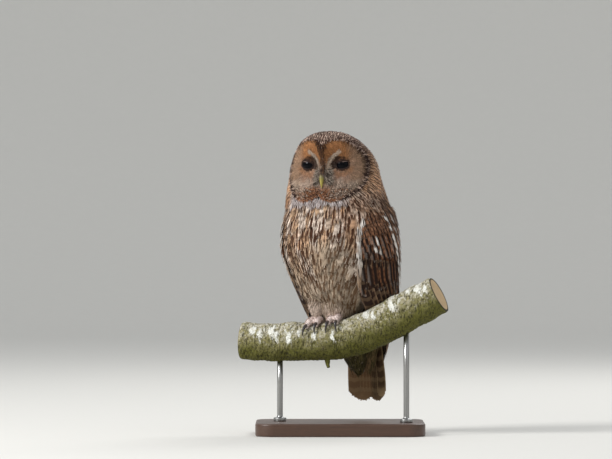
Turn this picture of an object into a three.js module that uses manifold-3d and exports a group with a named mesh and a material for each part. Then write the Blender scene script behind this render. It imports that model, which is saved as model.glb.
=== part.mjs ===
// A tawny owl, life size, at rest on a cut length of branch that a plain display stand holds up.
// Units are millimetres and +Z is up. The origin is the centre of the stand's underside, and the
// stand's front is -Y.
//
// The owl is drawn in a frame of its own: +X is its left, +Y its back and +Z up, with the origin on
// the perch's axis between its feet. owlToWorld turns that frame to where the owl faces and sets it
// on the perch.

import * as THREE from "three";
import { mergeVertices } from "three/addons/utils/BufferGeometryUtils.js";
import Module from "manifold-3d";

const wasm = await Module();
wasm.setup();

// ---------------------------------------------------------------- driving dimensions

const GAP = 0.3; // left between pieces that touch
const FINENESS = 0.1; // how far a piece's faces may lie from its true shape after its cuts are tidied
const rad = THREE.MathUtils.degToRad;

const BASE = { width: 236, depth: 168, height: 18, corner: 26, edge: 2.5, sides: 4 };
const ROD = { radius: 4, collar: 9, collarHeight: 5, at: [-84, 92], inPerch: 12, sides: 16 };

const PERCH = {
  height: 132, // of its axis above the floor, where the owl stands
  yaw: rad(-15), // its right end comes forward
  centre: { x: -14, y: -12 }, // under the owl's feet
  left: -137, // where its ends are cut, across the stand
  right: 137,
  radius: 26.6,
  taper: 0.008, // radius gained for each millimetre to the right
  rows: 17,
  sides: 17,
};
const KNOT = { x: -68, angle: 0.15, height: 5, length: 15, spread: 0.6 };
const STUB = { x: -19, angle: rad(168), radius: 5, length: 16 }; // what is left of a twig under it
// How far the perch's axis lies above its height where the owl stands, from the left end on.
const PERCH_RISE = [
  [-150, -1.5],
  [-95, -3.2],
  [-50, -3.4],
  [-10, -0.8],
  [30, 10],
  [70, 28.5],
  [108, 49],
  [150, 71.5],
];

const BODY_YAW = rad(-38); // the owl's front turns towards -X
const HEAD_TURN = rad(20.5); // and its face part of the way back

// Level sections through the body, from the tips of the feathers under the tail to the crown: how far
// up, how far back the section's middle lies, and how far it reaches from there to each side, to the
// front and to the rear.
const BODY = [
  { up: -50, back: 70, side: 0, front: 0, rear: 0 },
  { up: -45, back: 67, side: 9, front: 6, rear: 6 },
  { up: -24, back: 57, side: 19, front: 16, rear: 16 },
  { up: 2, back: 50, side: 27, front: 22, rear: 26 },
  { up: 28, back: 48, side: 32, front: 24, rear: 32 },
  { up: 45, back: 30, side: 42, front: 34, rear: 50 },
  { up: 60, back: 24, side: 56, front: 46, rear: 56 },
  { up: 85, back: 27, side: 70, front: 62, rear: 61 },
  { up: 120, back: 24, side: 81, front: 72, rear: 66 },
  { up: 150, back: 23, side: 82, front: 73, rear: 66 },
  { up: 176, back: 20, side: 78, front: 69, rear: 65 },
  { up: 200, back: 15, side: 71.5, front: 63, rear: 62 },
  { up: 222, back: 12, side: 65.5, front: 60, rear: 59 },
  { up: 246, back: 11, side: 60, front: 58, rear: 56 },
  { up: 264, back: 8, side: 51.5, front: 54, rear: 49 },
  { up: 278, back: 3, side: 40, front: 43.5, rear: 38.5 },
  { up: 286, back: 1, side: 28, front: 32, rear: 28 },
  { up: 290.5, back: 0, side: 15, front: 17, rear: 15 },
  { up: 292, back: 0, side: 0, front: 0, rear: 0 },
];
const BODY_COLUMNS = 30;
const FACE_ROWS = 3; // rows of faces between two sections of the face, where all others have one
const FACE_SECTIONS = [11, 14]; // the sections that the face runs through
const SQUARENESS = 0.94; // 1 is an ellipse, less is squarer
const FRONT_CROWDING = 0.5; // how much closer the columns stand on the face and breast
// The neck between its two cuts. The turn of the head begins and ends by its twist beyond them.
const NECK = { low: 190, high: 207, tilt: rad(6), twist: 15 };

// The face, about a point between the eyes: across to the owl's left, forward, and up.
const FACE = {
  centre: new THREE.Vector3(0, 9, 244),
  dish: { across: 23.3, radius: 34, depth: 9.5 },
  ridge: { width: 7, height: 5.5, from: -26, to: 34, fade: 13 },
  start: [10, 34], // how far in front of the head's middle the face's relief sets in
};
const EYE = { radius: 12, across: 23.3, forward: 33.5, up: 0.5, columns: 12, rows: 8 };
// The lids are half closed: their shell's thickness and the opening's size and set.
const LID = {
  thickness: 1.7,
  halfWidth: 9.2,
  halfHeight: 4.7,
  drop: 0.6, // below the eye's middle
  tilt: rad(7), // its outer corner is the higher
  outward: rad(14), // each eye looks a little to its own side
};
// The bill's two halves, each by how far forward and up its root, its crest and its tip lie, and half
// its width and depth at the root.
const BILL = {
  upper: { root: [44, -12], crest: [62, -13], tip: [58, -32], width: 4.3, depth: 5.6 },
  lower: { root: [44, -21], crest: [56, -22], tip: [54.5, -29.5], width: 3.2, depth: 3 },
  columns: 10,
  rows: 7,
};
const BILL_POINT = 0.4; // the radius of its tips

// The folded wing's outer surface, by level sections like the body's, and the part of each that the
// wing covers, as angles in degrees round the body from its front.
const WING = [
  { up: 191, back: 21, side: 77, depth: 67, from: 88, to: 104, thick: 4 },
  { up: 184, back: 22, side: 80, depth: 68, from: 66, to: 132, thick: 7 },
  { up: 170, back: 22, side: 84.5, depth: 70, from: 53, to: 146, thick: 10 },
  { up: 145, back: 22, side: 89, depth: 71, from: 49, to: 154, thick: 12 },
  { up: 120, back: 24, side: 89.5, depth: 71, from: 49, to: 160, thick: 12 },
  { up: 85, back: 34, side: 83, depth: 64, from: 45, to: 166, thick: 10 },
  { up: 43, back: 49, side: 76, depth: 46, from: 43, to: 170, thick: 8 },
  { up: 24, back: 53, side: 66, depth: 44, from: 66, to: 171, thick: 6.5 },
  { up: 6, back: 58, side: 54, depth: 39, from: 98, to: 171, thick: 5 },
  { up: -20, back: 60, side: 45, depth: 37, from: 122, to: 171, thick: 4 },
  { up: -44, back: 60, side: 37, depth: 35, from: 138, to: 168, thick: 3 },
  { up: -56, back: 60, side: 33, depth: 34, from: 148, to: 162, thick: 2 },
];
const WING_COLUMNS = 18;
const WING_EDGE = 0.35; // the wing's thickness at its edges, as a share of that in its middle

// The tail, closed, from its root down: half its width, its thickness and how far back its middle lies.
const TAIL = [
  { up: 66, back: 76, half: 14, thick: 9 },
  { up: 40, back: 80, half: 22, thick: 11 },
  { up: 10, back: 84, half: 27, thick: 10 },
  { up: -25, back: 86, half: 29, thick: 8 },
  { up: -60, back: 87, half: 31, thick: 6 },
  { up: -85, back: 87, half: 31, thick: 4 },
];
const TAIL_SHIFT = 6; // the tail hangs a little to the owl's left
const TAIL_ARCH = 6; // its edges lie in front of its middle
const TAIL_NOTCH = 9; // how far the tip's middle is cut up between its two sides
const TAIL_COLUMNS = 16;

const LEG = { top: 70, radius: 14, ankle: 9.5, swell: 2.4, columns: 12, rows: 6 };
const FEET_APART = 35; // measured along the perch
const TOE = { root: 6.2, tip: 4.6, columns: 7, rows: 4 };
const TALON = { root: 2.5, lift: 3.2, wrap: rad(24), columns: 6, rows: 5 };
const TOE_HEADING = 6; // how far left along the perch the toes run for each radian to its front
const TOE_FLATNESS = 0.86; // how far out its middle lies, as a share of its radius
// Each toe: its name, where it starts out from the middle of the foot, how far it splays outwards for
// each radian round the perch, and how far round it reaches: two go to the front and two to the back.
const TOES = [
  { name: "second", start: -5, splay: -3, reach: rad(41) },
  { name: "third", start: 4.5, splay: 3, reach: rad(46) },
  { name: "first", start: -4, splay: -5, reach: rad(-32) },
  { name: "fourth", start: 5, splay: 9, reach: rad(-38) },
];

// ---------------------------------------------------------------- small tools

// The smooth value of one key of a list of sections, at a place t from 0 to 1 through all of them.
function along(sections, key, t) {
  const points = sections.map((s) => new THREE.Vector3(s[key], 0, 0));
  return new THREE.CatmullRomCurve3(points, false, "catmullrom", 0.5).getPoint(t).x;
}

const smooth = (low, high, x) => THREE.MathUtils.smoothstep(x, low, high);

// A power that keeps its base's sign, for squared-off ellipses.
const signedPower = (x, p) => Math.sign(x) * Math.abs(x) ** p;

// A closed skin from rings of points: ring k of a sphere's grid goes where place(turn, k) says, with
// turn from 0 to 1 round it. The first and last ring close on one point each.
function closedSkin(columns, rows, place) {
  const geometry = new THREE.SphereGeometry(1, columns, rows);
  const { position, uv } = geometry.attributes;
  for (let i = 0; i < position.count; i++) {
    const k = Math.round((1 - uv.getY(i)) * rows);
    const turn = k === 0 || k === rows ? 0 : uv.getX(i) % 1;
    position.setXYZ(i, ...place(turn, k).toArray());
  }
  return geometry;
}

// A tube along a path, with closed ends: centre(t) is its middle, and across(t) and up(t) are its two
// radii as vectors.
function tube(columns, rows, centre, across, up) {
  return closedSkin(columns, rows + 2, (turn, k) => {
    const t = THREE.MathUtils.clamp((k - 1) / rows, 0, 1);
    const middle = centre(t);
    if (k === 0 || k === rows + 2) return middle;
    const angle = turn * 2 * Math.PI;
    return middle.addScaledVector(across(t), Math.cos(angle)).addScaledVector(up(t), Math.sin(angle));
  });
}

// A three.js geometry as a manifold-3d solid, turned the right way out.
function solid(geometry) {
  const bare = geometry.clone();
  bare.deleteAttribute("normal");
  bare.deleteAttribute("uv");
  const merged = mergeVertices(bare, 1e-4);
  const triVerts = new Uint32Array(merged.index.array);
  const make = () =>
    new wasm.Manifold(
      new wasm.Mesh({ numProp: 3, vertProperties: merged.attributes.position.array, triVerts }),
    );
  const made = make();
  if (made.volume() > 0) return made;
  triVerts.reverse();
  return make();
}

// The largest separate piece of a solid, which drops the slivers that a cut can leave.
function largest(body) {
  return body.decompose().reduce((best, piece) => (piece.volume() > best.volume() ? piece : best));
}

function toGeometry(body) {
  const { vertProperties, triVerts } = body.simplify(FINENESS).getMesh();
  const geometry = new THREE.BufferGeometry();
  geometry.setAttribute("position", new THREE.BufferAttribute(vertProperties, 3));
  geometry.setIndex(new THREE.BufferAttribute(triVerts, 1));
  geometry.computeVertexNormals();
  return geometry;
}

const owlToWorld = new THREE.Matrix4()
  .makeTranslation(PERCH.centre.x, PERCH.centre.y, PERCH.height)
  .multiply(new THREE.Matrix4().makeRotationZ(BODY_YAW));

// A geometry that was drawn in the owl's frame, as a solid in the stand's.
const owlSolid = (geometry) => solid(geometry.applyMatrix4(owlToWorld));

// ---------------------------------------------------------------- body

// A point given across, forward and up from the face's centre, in the owl's frame.
function fromFace(across, forward, up) {
  return new THREE.Vector3(across, -forward, up)
    .applyAxisAngle(new THREE.Vector3(0, 0, 1), HEAD_TURN)
    .add(FACE.centre);
}

// How far the face's surface lies in front of the head's plain round: two dishes round the eyes and
// the ridge between them.
function faceRelief(across, up) {
  const { dish, ridge } = FACE;
  const bowl = [-1, 1].reduce((sum, side) => {
    const r = Math.hypot(across - side * dish.across, up - EYE.up) / dish.radius;
    return sum + (r < 1 ? (1 - r * r) ** 2 : 0);
  }, 0);
  const below = smooth(ridge.from, ridge.from + ridge.fade, up);
  const above = 1 - smooth(ridge.to - ridge.fade, ridge.to, up);
  const bridge = ridge.height * Math.exp(-((across / ridge.width) ** 2)) * below * above;
  return bridge - dish.depth * bowl;
}

// The body's surface grown by so much, at a place t from its lowest tip to the crown and an angle
// round it from the front.
function bodyPoint(t, angle, grow) {
  const section = Object.fromEntries(Object.keys(BODY[0]).map((key) => [key, along(BODY, key, t)]));
  const pole = t === 0 || t === 1;
  const reach = (key) => (pole ? 0 : section[key] + grow);
  const cos = signedPower(Math.cos(angle), SQUARENESS);
  const across = reach("side") * signedPower(Math.sin(angle), SQUARENESS);
  const depth = cos > 0 ? reach("front") * cos : reach("rear") * cos;
  const turned = HEAD_TURN * smooth(NECK.low - NECK.twist, NECK.high + NECK.twist, section.up);
  const point = new THREE.Vector3(across, -depth, 0).applyAxisAngle(new THREE.Vector3(0, 0, 1), turned);
  point.add(new THREE.Vector3(0, section.back, section.up + (t === 0 ? -grow : t === 1 ? grow : 0)));
  const facing = new THREE.Vector3(0, -1, 0).applyAxisAngle(new THREE.Vector3(0, 0, 1), HEAD_TURN);
  const relief = faceRelief(across, section.up - FACE.centre.z) * smooth(...FACE.start, depth);
  return point.addScaledVector(facing, relief);
}

function bodySkin(grow = 0) {
  const places = [];
  BODY.slice(1).forEach((_, i) => {
    const rows = i >= FACE_SECTIONS[0] && i <= FACE_SECTIONS[1] ? FACE_ROWS : 1;
    for (let row = 0; row < rows; row++) places.push((i + row / rows) / (BODY.length - 1));
  });
  places.push(1);
  return closedSkin(BODY_COLUMNS, places.length - 1, (turn, k) => {
    const angle = 2 * Math.PI * turn - FRONT_CROWDING * Math.sin(2 * Math.PI * turn);
    return bodyPoint(places[k], angle, grow);
  });
}

// Everything between two heights in the owl's frame, as a box that leans back with the neck's cuts.
function slab(low, high, tilt) {
  const size = 400;
  const box = new THREE.BoxGeometry(size, size, high - low);
  box.translate(0, 0, (high + low) / 2 - NECK.low);
  box.rotateX(tilt);
  box.translate(0, 0, NECK.low);
  return owlSolid(box);
}

// ---------------------------------------------------------------- eyes and bill

const eyeCentre = (side) => fromFace(side * EYE.across, EYE.forward, EYE.up);

function eye(side, grow = 0) {
  const ball = new THREE.SphereGeometry(EYE.radius + grow, EYE.columns, EYE.rows);
  return owlSolid(ball.translate(...eyeCentre(side).toArray()));
}

// The lids: a shell round the eye with a long, low opening in front.
function lids(side) {
  const opening = new THREE.SphereGeometry(1, 10, 8);
  opening.scale(LID.halfWidth, 2 * EYE.radius, LID.halfHeight);
  opening.rotateY(side * LID.tilt);
  opening.translate(0, -2 * EYE.radius, -LID.drop);
  opening.rotateZ(HEAD_TURN + side * LID.outward);
  opening.translate(...eyeCentre(side).toArray());
  return eye(side, LID.thickness).subtract(owlSolid(opening));
}

// One half of the bill: a hook that comes out of the face and curves down to its tip.
function mandible(half, grow = 0) {
  const path = new THREE.QuadraticBezierCurve3(
    ...[half.root, half.crest, half.tip].map(([forward, up]) => fromFace(0, forward, up)),
  );
  const left = fromFace(1, 0, 0).sub(fromFace(0, 0, 0));
  const girth = (size, t) => size * (1 - t ** 2.2) + BILL_POINT + grow;
  return owlSolid(
    tube(
      BILL.columns,
      BILL.rows,
      (t) => path.getPoint(t),
      (t) => left.clone().multiplyScalar(girth(half.width, t)),
      (t) => path.getTangent(t).cross(left).multiplyScalar(-girth(half.depth, t)),
    ),
  );
}

// ---------------------------------------------------------------- wings and tail

// The wing's section: out along its outer side from the front edge, and back along its inner side.
function wing(side) {
  const rows = WING.length - 1;
  return owlSolid(
    closedSkin(WING_COLUMNS, rows, (turn, k) => {
      const t = k / rows;
      const at = (key) => along(WING, key, t);
      const pole = k === 0 || k === rows;
      const outside = turn < 0.5;
      const share = outside ? turn * 2 : 2 - turn * 2;
      const angle = rad(THREE.MathUtils.lerp(at("from"), at("to"), pole ? 0.5 : share));
      const edge = Math.sin(Math.PI * share); // the blade thins to both its edges
      const inside = outside ? 0 : WING_EDGE + (1 - WING_EDGE) * edge;
      const out = (key) => at(key) - at("thick") * (pole ? 0.5 : inside);
      return new THREE.Vector3(
        side * out("side") * Math.sin(angle),
        at("back") - out("depth") * Math.cos(angle),
        at("up"),
      );
    }),
  );
}

function tail(grow = 0) {
  const rows = 2 * (TAIL.length - 1) + 2;
  return owlSolid(
    closedSkin(TAIL_COLUMNS, rows, (turn, k) => {
      const t = THREE.MathUtils.clamp((k - 1) / (rows - 2), 0, 1);
      const at = (key) => along(TAIL, key, t);
      const pole = k === 0 || k === rows;
      const angle = 2 * Math.PI * turn;
      const across = pole ? 0 : signedPower(Math.cos(angle), 0.8);
      const through = pole ? 0 : signedPower(Math.sin(angle), 0.8);
      const notch = TAIL_NOTCH * Math.exp(-((across / 0.22) ** 2)) * t ** 8;
      const rounded = TAIL_NOTCH * across ** 6 * t ** 8;
      return new THREE.Vector3(
        TAIL_SHIFT * t + across * (at("half") + grow),
        at("back") - TAIL_ARCH * across ** 2 + through * (at("thick") / 2 + grow),
        at("up") + notch + rounded + (k <= 1 ? grow : k >= rows - 1 ? -grow : 0),
      );
    }),
  );
}

// ---------------------------------------------------------------- perch and stand

const perchRise = new THREE.SplineCurve(PERCH_RISE.map(([x, z]) => new THREE.Vector2(x, z)));

// The perch's axis at a place across the stand: the point, and the directions along it, up from it
// and to its front.
function perchFrame(x) {
  const first = PERCH_RISE.findLastIndex(([at]) => at <= x);
  let t = first / (PERCH_RISE.length - 1);
  for (let step = 0; step < 8; step++) {
    const slope = perchRise.getPoint(Math.min(t + 0.01, 1)).x - perchRise.getPoint(t).x;
    t = THREE.MathUtils.clamp(t + (0.01 * (x - perchRise.getPoint(t).x)) / slope, 0, 0.99);
  }
  const [here, ahead] = [perchRise.getPoint(t), perchRise.getPoint(t + 0.01)];
  const lean = Math.tan(PERCH.yaw);
  const y = PERCH.centre.y + lean * (x - PERCH.centre.x);
  const point = new THREE.Vector3(x, y, PERCH.height + here.y);
  const forth = new THREE.Vector3(1, lean, (ahead.y - here.y) / (ahead.x - here.x)).normalize();
  const front = forth.clone().cross(new THREE.Vector3(0, 0, 1)).normalize();
  const up = front.clone().cross(forth).normalize();
  return { point, forth, front, up };
}

// The perch's radius at a place along it and an angle round it: it thickens to the right, has a knot
// on top and is never quite round.
function perchRadius(x, angle) {
  const round = PERCH.radius + PERCH.taper * x;
  const uneven = 0.8 * Math.sin(2 * angle + x / 31) + 0.5 * Math.sin(3 * angle - x / 19);
  const fromKnot = [(x - KNOT.x) / KNOT.length, (angle - KNOT.angle) / KNOT.spread];
  const knot = KNOT.height * Math.exp(-(fromKnot[0] ** 2) - fromKnot[1] ** 2);
  return round + uneven + knot;
}

// A point on the perch, or outside it by so much: angle 0 is its top and turns to its front.
function onPerch(x, angle, out) {
  const { point, front, up } = perchFrame(x);
  const r = perchRadius(x, angle) + out;
  return point.addScaledVector(up, r * Math.cos(angle)).addScaledVector(front, r * Math.sin(angle));
}

// The stump of a twig under the perch.
function stub(grow) {
  const { x, angle, radius, length } = STUB;
  const cone = new THREE.CylinderGeometry(radius * 0.35 + grow, radius + grow, length + 2 * grow, 8);
  const outward = onPerch(x, angle, 9).sub(onPerch(x, angle, 0)).normalize();
  cone.applyQuaternion(new THREE.Quaternion().setFromUnitVectors(new THREE.Vector3(0, 1, 0), outward));
  return solid(cone.translate(...onPerch(x, angle, length / 4).toArray()));
}

function perch(grow = 0) {
  const { rows, sides, left, right } = PERCH;
  const branch = solid(
    closedSkin(sides, rows, (turn, k) => {
      const t = THREE.MathUtils.clamp((k - 1) / (rows - 2), 0, 1);
      const x = THREE.MathUtils.lerp(left - grow, right + grow, t);
      if (k === 0 || k === rows) return perchFrame(x).point;
      const angle = 2 * Math.PI * turn;
      return onPerch(x, angle > Math.PI ? angle - 2 * Math.PI : angle, grow);
    }),
  );
  return branch.add(stub(grow));
}

function standBase() {
  const { width, depth, height, corner, edge, sides } = BASE;
  const [w, d, r] = [width / 2 - edge, depth / 2 - edge, corner - edge];
  const outline = new THREE.Shape();
  outline.absarc(w - r, d - r, r, 0, Math.PI / 2);
  outline.absarc(r - w, d - r, r, Math.PI / 2, Math.PI);
  outline.absarc(r - w, r - d, r, Math.PI, 1.5 * Math.PI);
  outline.absarc(w - r, r - d, r, 1.5 * Math.PI, 2 * Math.PI);
  const block = new THREE.ExtrudeGeometry(outline, {
    depth: height - 2 * edge,
    bevelThickness: edge,
    bevelSize: edge,
    bevelSegments: 1,
    curveSegments: sides,
  });
  return solid(block.translate(0, 0, edge));
}

// A rod that stands on the base by a collar and ends inside the perch.
function standRod(x, grow = 0) {
  const { point } = perchFrame(x);
  const low = BASE.height + GAP - grow;
  const high = point.z - perchRadius(x, Math.PI) + ROD.inPerch + grow;
  const [r, collar] = [ROD.radius + grow, ROD.collar + grow];
  const profile = [
    [0, low],
    [collar, low],
    [collar, low + ROD.collarHeight],
    [r, low + ROD.collarHeight + 2],
    [r, high],
    [0, high],
  ].map(([a, b]) => new THREE.Vector2(a, b));
  const rod = new THREE.LatheGeometry(profile, ROD.sides).rotateX(Math.PI / 2);
  return solid(rod.translate(x, point.y, 0));
}

// ---------------------------------------------------------------- legs and feet

// Where a foot stands across the stand. The owl's left is +1.
const footAt = (side) => PERCH.centre.x + (side * FEET_APART * Math.cos(PERCH.yaw)) / 2;

const worldToOwl = owlToWorld.clone().invert();

function leg(side, grow = 0) {
  const foot = onPerch(footAt(side), 0, 0).applyMatrix4(worldToOwl);
  const low = foot.z + TOE.root * 1.2;
  return owlSolid(
    closedSkin(LEG.columns, LEG.rows, (turn, k) => {
      const t = k / LEG.rows;
      const swell = LEG.radius + LEG.swell * Math.sin(Math.PI * t);
      const r = THREE.MathUtils.lerp(swell, LEG.ankle, t ** 1.5) + grow;
      const round = r * Math.sqrt(Math.sin(Math.PI * THREE.MathUtils.lerp(0.06, 0.94, t)));
      const angle = 2 * Math.PI * turn;
      const pole = k === 0 || k === LEG.rows ? 0 : 1;
      return new THREE.Vector3(
        foot.x + pole * round * Math.cos(angle),
        foot.y + 5 * (1 - t) + pole * round * Math.sin(angle),
        THREE.MathUtils.lerp(LEG.top, low, t) + (k === 0 ? grow : k === LEG.rows ? -grow : 0),
      );
    }),
  );
}

// The middle of a toe or talon on the perch, so far round it and so far out from the bark.
function toePath(side, toe, angle, out) {
  const x = footAt(side) + side * (toe.start + toe.splay * Math.abs(angle)) - TOE_HEADING * angle;
  return onPerch(x, angle, out);
}

// A tube that lies on the perch from one angle round it to another, as thick and as far out as its
// functions say.
function gripping(side, toe, from, to, radius, out, size) {
  const centre = (t) => toePath(side, toe, THREE.MathUtils.lerp(from, to, t), out(t));
  const ahead = (t) => centre(Math.min(t + 0.02, 1)).sub(centre(Math.min(t, 0.98))).normalize();
  const outward = (t) => {
    const angle = THREE.MathUtils.lerp(from, to, t);
    return toePath(side, toe, angle, 9).sub(toePath(side, toe, angle, 0)).normalize();
  };
  const across = (t) => outward(t).cross(ahead(t)).normalize();
  const rise = (t) => ahead(t).cross(across(t));
  return solid(
    tube(size.columns, size.rows, centre, (t) => across(t).multiplyScalar(radius(t)),
      (t) => rise(t).multiplyScalar(radius(t))),
  );
}

function toe(side, which, grow = 0) {
  const radius = (t) => THREE.MathUtils.lerp(TOE.root, TOE.tip, t) * Math.sqrt(1 - 0.75 * t ** 8);
  const out = (t) => radius(t) * TOE_FLATNESS;
  return gripping(side, which, 0, which.reach, (t) => radius(t) + grow, out, TOE);
}

function talon(side, which, grow = 0) {
  const turn = Math.sign(which.reach);
  const radius = (t) => TALON.root * (1 - t) ** 0.8 + 0.25 + grow;
  const out = (t) => TOE.tip * (1 - t) + 0.9 + TALON.lift * Math.sin(Math.PI * Math.min(t * 1.15, 1));
  const from = which.reach - turn * rad(5);
  return gripping(side, which, from, which.reach + turn * TALON.wrap, radius, out, TALON);
}

// The room that a foot's toes and talons need, with the gap round them.
function footRoom(side) {
  const pieces = TOES.flatMap((which) => [toe(side, which, GAP), talon(side, which, GAP)]);
  return pieces.reduce((sum, piece) => sum.add(piece));
}

function foot(side) {
  const ankle = leg(side, GAP);
  const toes = TOES.map((which) => toe(side, which));
  const whole = toes.reduce((sum, piece) => sum.add(piece));
  const cut = TOES.reduce((body, which) => body.subtract(talon(side, which, GAP)), whole);
  return largest(cut.subtract(perch(GAP)).subtract(ankle));
}

// ---------------------------------------------------------------- the object

const COLOURS = {
  plumage: 0x8a6a4c, breast: 0xa88f74, wing: 0x5d402c, tail: 0x5a4636, foot: 0xbfa08a, horn: 0x9a9450,
  talon: 0x2a2624, eye: 0x0b0a0c, bark: 0x75704e, wood: 0x4a3222, steel: 0x8d8f92,
};

const model = new THREE.Group();

function place(name, body, colour, roughness = 0.9, metalness = 0) {
  const material = new THREE.MeshStandardMaterial({ color: colour, roughness, metalness });
  const mesh = new THREE.Mesh(toGeometry(body), material);
  mesh.name = name;
  model.add(mesh);
}

function addStand() {
  const rods = ROD.at.map((x) => standRod(x, GAP));
  place("stand_base", standBase(), COLOURS.wood, 0.45);
  place("stand_rod_left", standRod(ROD.at[0]), COLOURS.steel, 0.3, 1);
  place("stand_rod_right", standRod(ROD.at[1]), COLOURS.steel, 0.3, 1);
  place("perch", rods.reduce((body, rod) => body.subtract(rod), perch()), COLOURS.bark);
}

function addBody() {
  const whole = owlSolid(bodySkin());
  const legs = [1, -1].map((side) => leg(side, GAP));
  const cut = (low, high) => whole.intersect(slab(low, high, NECK.tilt));
  const sockets = [eye(1, GAP), eye(-1, GAP), upperBill(GAP), lowerBill(GAP)];
  const lidded = cut(NECK.high + GAP, 400).add(lids(1)).add(lids(-1));
  const head = sockets.reduce((body, socket) => body.subtract(socket), lidded);
  const clear = legs.reduce((body, limb) => body.subtract(limb), cut(-60, NECK.low - GAP));
  const trunk = clear.subtract(perch(GAP)).subtract(footRoom(1)).subtract(footRoom(-1));
  place("head", largest(head), COLOURS.plumage);
  place("neck", largest(cut(NECK.low, NECK.high)), COLOURS.plumage);
  place("trunk", largest(trunk), COLOURS.breast);
}

const upperBill = (grow) => mandible(BILL.upper, grow);
const lowerBill = (grow) => mandible(BILL.lower, grow);

function addHeadPieces() {
  place("eye_left", eye(1), COLOURS.eye, 0.05);
  place("eye_right", eye(-1), COLOURS.eye, 0.05);
  place("bill_upper", upperBill(0), COLOURS.horn, 0.4);
  place("bill_lower", largest(lowerBill(0).subtract(upperBill(GAP))), COLOURS.horn, 0.4);
}

function addWingsAndTail() {
  const body = owlSolid(bodySkin(GAP));
  const inTheWay = body.add(tail(GAP)).add(perch(GAP));
  place("tail", largest(tail().subtract(body)), COLOURS.tail);
  [["left", 1], ["right", -1]].forEach(([name, side]) => {
    place(`wing_${name}`, largest(wing(side).subtract(inTheWay)), COLOURS.wing);
  });
}

function addLegs() {
  [["left", 1], ["right", -1]].forEach(([name, side]) => {
    place(`leg_${name}`, leg(side).subtract(perch(GAP)), COLOURS.breast);
    place(`foot_${name}`, foot(side), COLOURS.foot);
    TOES.forEach((which) => {
      const claw = largest(talon(side, which).subtract(perch(GAP)));
      place(`talon_${name}_${which.name}`, claw, COLOURS.talon, 0.35);
    });
  });
}

addStand();
addBody();
addHeadPieces();
addWingsAndTail();
addLegs();

export default model;
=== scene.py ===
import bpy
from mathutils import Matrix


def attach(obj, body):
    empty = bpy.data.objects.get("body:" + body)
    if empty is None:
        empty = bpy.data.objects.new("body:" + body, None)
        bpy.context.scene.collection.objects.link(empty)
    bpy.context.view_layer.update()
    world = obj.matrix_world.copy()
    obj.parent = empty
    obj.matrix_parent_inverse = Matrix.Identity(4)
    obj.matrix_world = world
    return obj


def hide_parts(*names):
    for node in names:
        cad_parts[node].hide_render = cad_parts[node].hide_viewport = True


bl_info = {
    "name": "Tawny owl on a perch",
    "version": (1, 0, 0),
    "blender": (4, 5, 0),
    "location": "View3D > Sidebar > Owl",
    "description": "Dresses the solids of a still, life-size tawny owl in skin, feathers, horn and bark",
    "category": "Add Mesh",
}

from math import cos, pi, radians, sin, tan
from types import SimpleNamespace

import bmesh
import bpy
import numpy as np
from bpy.props import FloatProperty, FloatVectorProperty, PointerProperty
from bpy.types import Operator, Panel, PropertyGroup
from mathutils import Vector

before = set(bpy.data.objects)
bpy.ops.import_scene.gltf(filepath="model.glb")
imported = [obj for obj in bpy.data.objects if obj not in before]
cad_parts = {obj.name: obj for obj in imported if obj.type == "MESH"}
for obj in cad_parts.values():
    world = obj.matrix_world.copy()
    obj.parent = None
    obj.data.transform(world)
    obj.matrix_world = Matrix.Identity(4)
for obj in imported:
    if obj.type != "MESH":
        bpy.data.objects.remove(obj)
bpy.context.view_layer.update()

# ------------------------------------------------------------------ the owl's own shape
# Millimetres, in the owl's frame: +X is its left, +Y its back, +Z up, and the origin lies on the
# perch's axis between its feet. The values are those of the solids.

MM = 0.001
SIDES = (("left", 1), ("right", -1))
BODY_YAW = radians(-38)
HEAD_TURN = radians(20.5)
FOOTING = np.array([-14.0, -12.0, 132.0])  # where the owl's frame stands in the scene
SQUARENESS = 0.94

# The first columns of every table of sections, and the next ones of the wing's.
UP, BACK, SIDE = range(3)
DEEP, FIRST, LAST = range(3, 6)

# The body: up, back, side, front, rear.
BODY = np.array([
    (-50, 70, 0, 0, 0), (-45, 67, 9, 6, 6), (-24, 57, 19, 16, 16), (2, 50, 27, 22, 26),
    (28, 48, 32, 24, 32), (45, 30, 42, 34, 50), (60, 24, 56, 46, 56), (85, 27, 70, 62, 61),
    (120, 24, 81, 72, 66), (150, 23, 82, 73, 66), (176, 20, 78, 69, 65), (200, 15, 71.5, 63, 62),
    (222, 12, 65.5, 60, 59), (246, 11, 60, 58, 56), (264, 8, 51.5, 54, 49), (278, 3, 40, 43.5, 38.5),
    (286, 1, 28, 32, 28), (290.5, 0, 15, 17, 15), (292, 0, 0, 0, 0),
])
FACE_CENTRE = np.array([0.0, 9.0, 244.0])
EYE_RADIUS, EYE_ACROSS, EYE_FORWARD, EYE_UP = 12.0, 23.3, 33.5, 0.5
EYE_TURN = radians(14)  # how far each eye looks to its own side
LID_REACH = 12.4  # how far the lids reach from the eye's middle
DISH_RADIUS, DISH_DEPTH = 34.0, 9.5
RIDGE_WIDTH, RIDGE_HEIGHT = 7.0, 5.5
LOBE = dict(across=21.0, up=-5.0, wide=33.0, high=39.0)  # each half of the facial disc

# The folded wing: up, back, side, depth, first and last angle round the body, thickness.
WING = np.array([
    (191, 21, 77, 67, 88, 104, 4), (184, 22, 80, 68, 66, 132, 7), (170, 22, 84.5, 70, 53, 146, 10),
    (145, 22, 89, 71, 49, 154, 12), (120, 24, 89.5, 71, 49, 160, 12), (85, 34, 83, 64, 45, 166, 10),
    (43, 49, 76, 46, 43, 170, 8), (24, 53, 66, 44, 66, 171, 6.5), (6, 58, 54, 39, 98, 171, 5),
    (-20, 60, 45, 37, 122, 171, 4), (-44, 60, 37, 35, 138, 168, 3), (-56, 60, 33, 34, 148, 162, 2),
])
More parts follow.
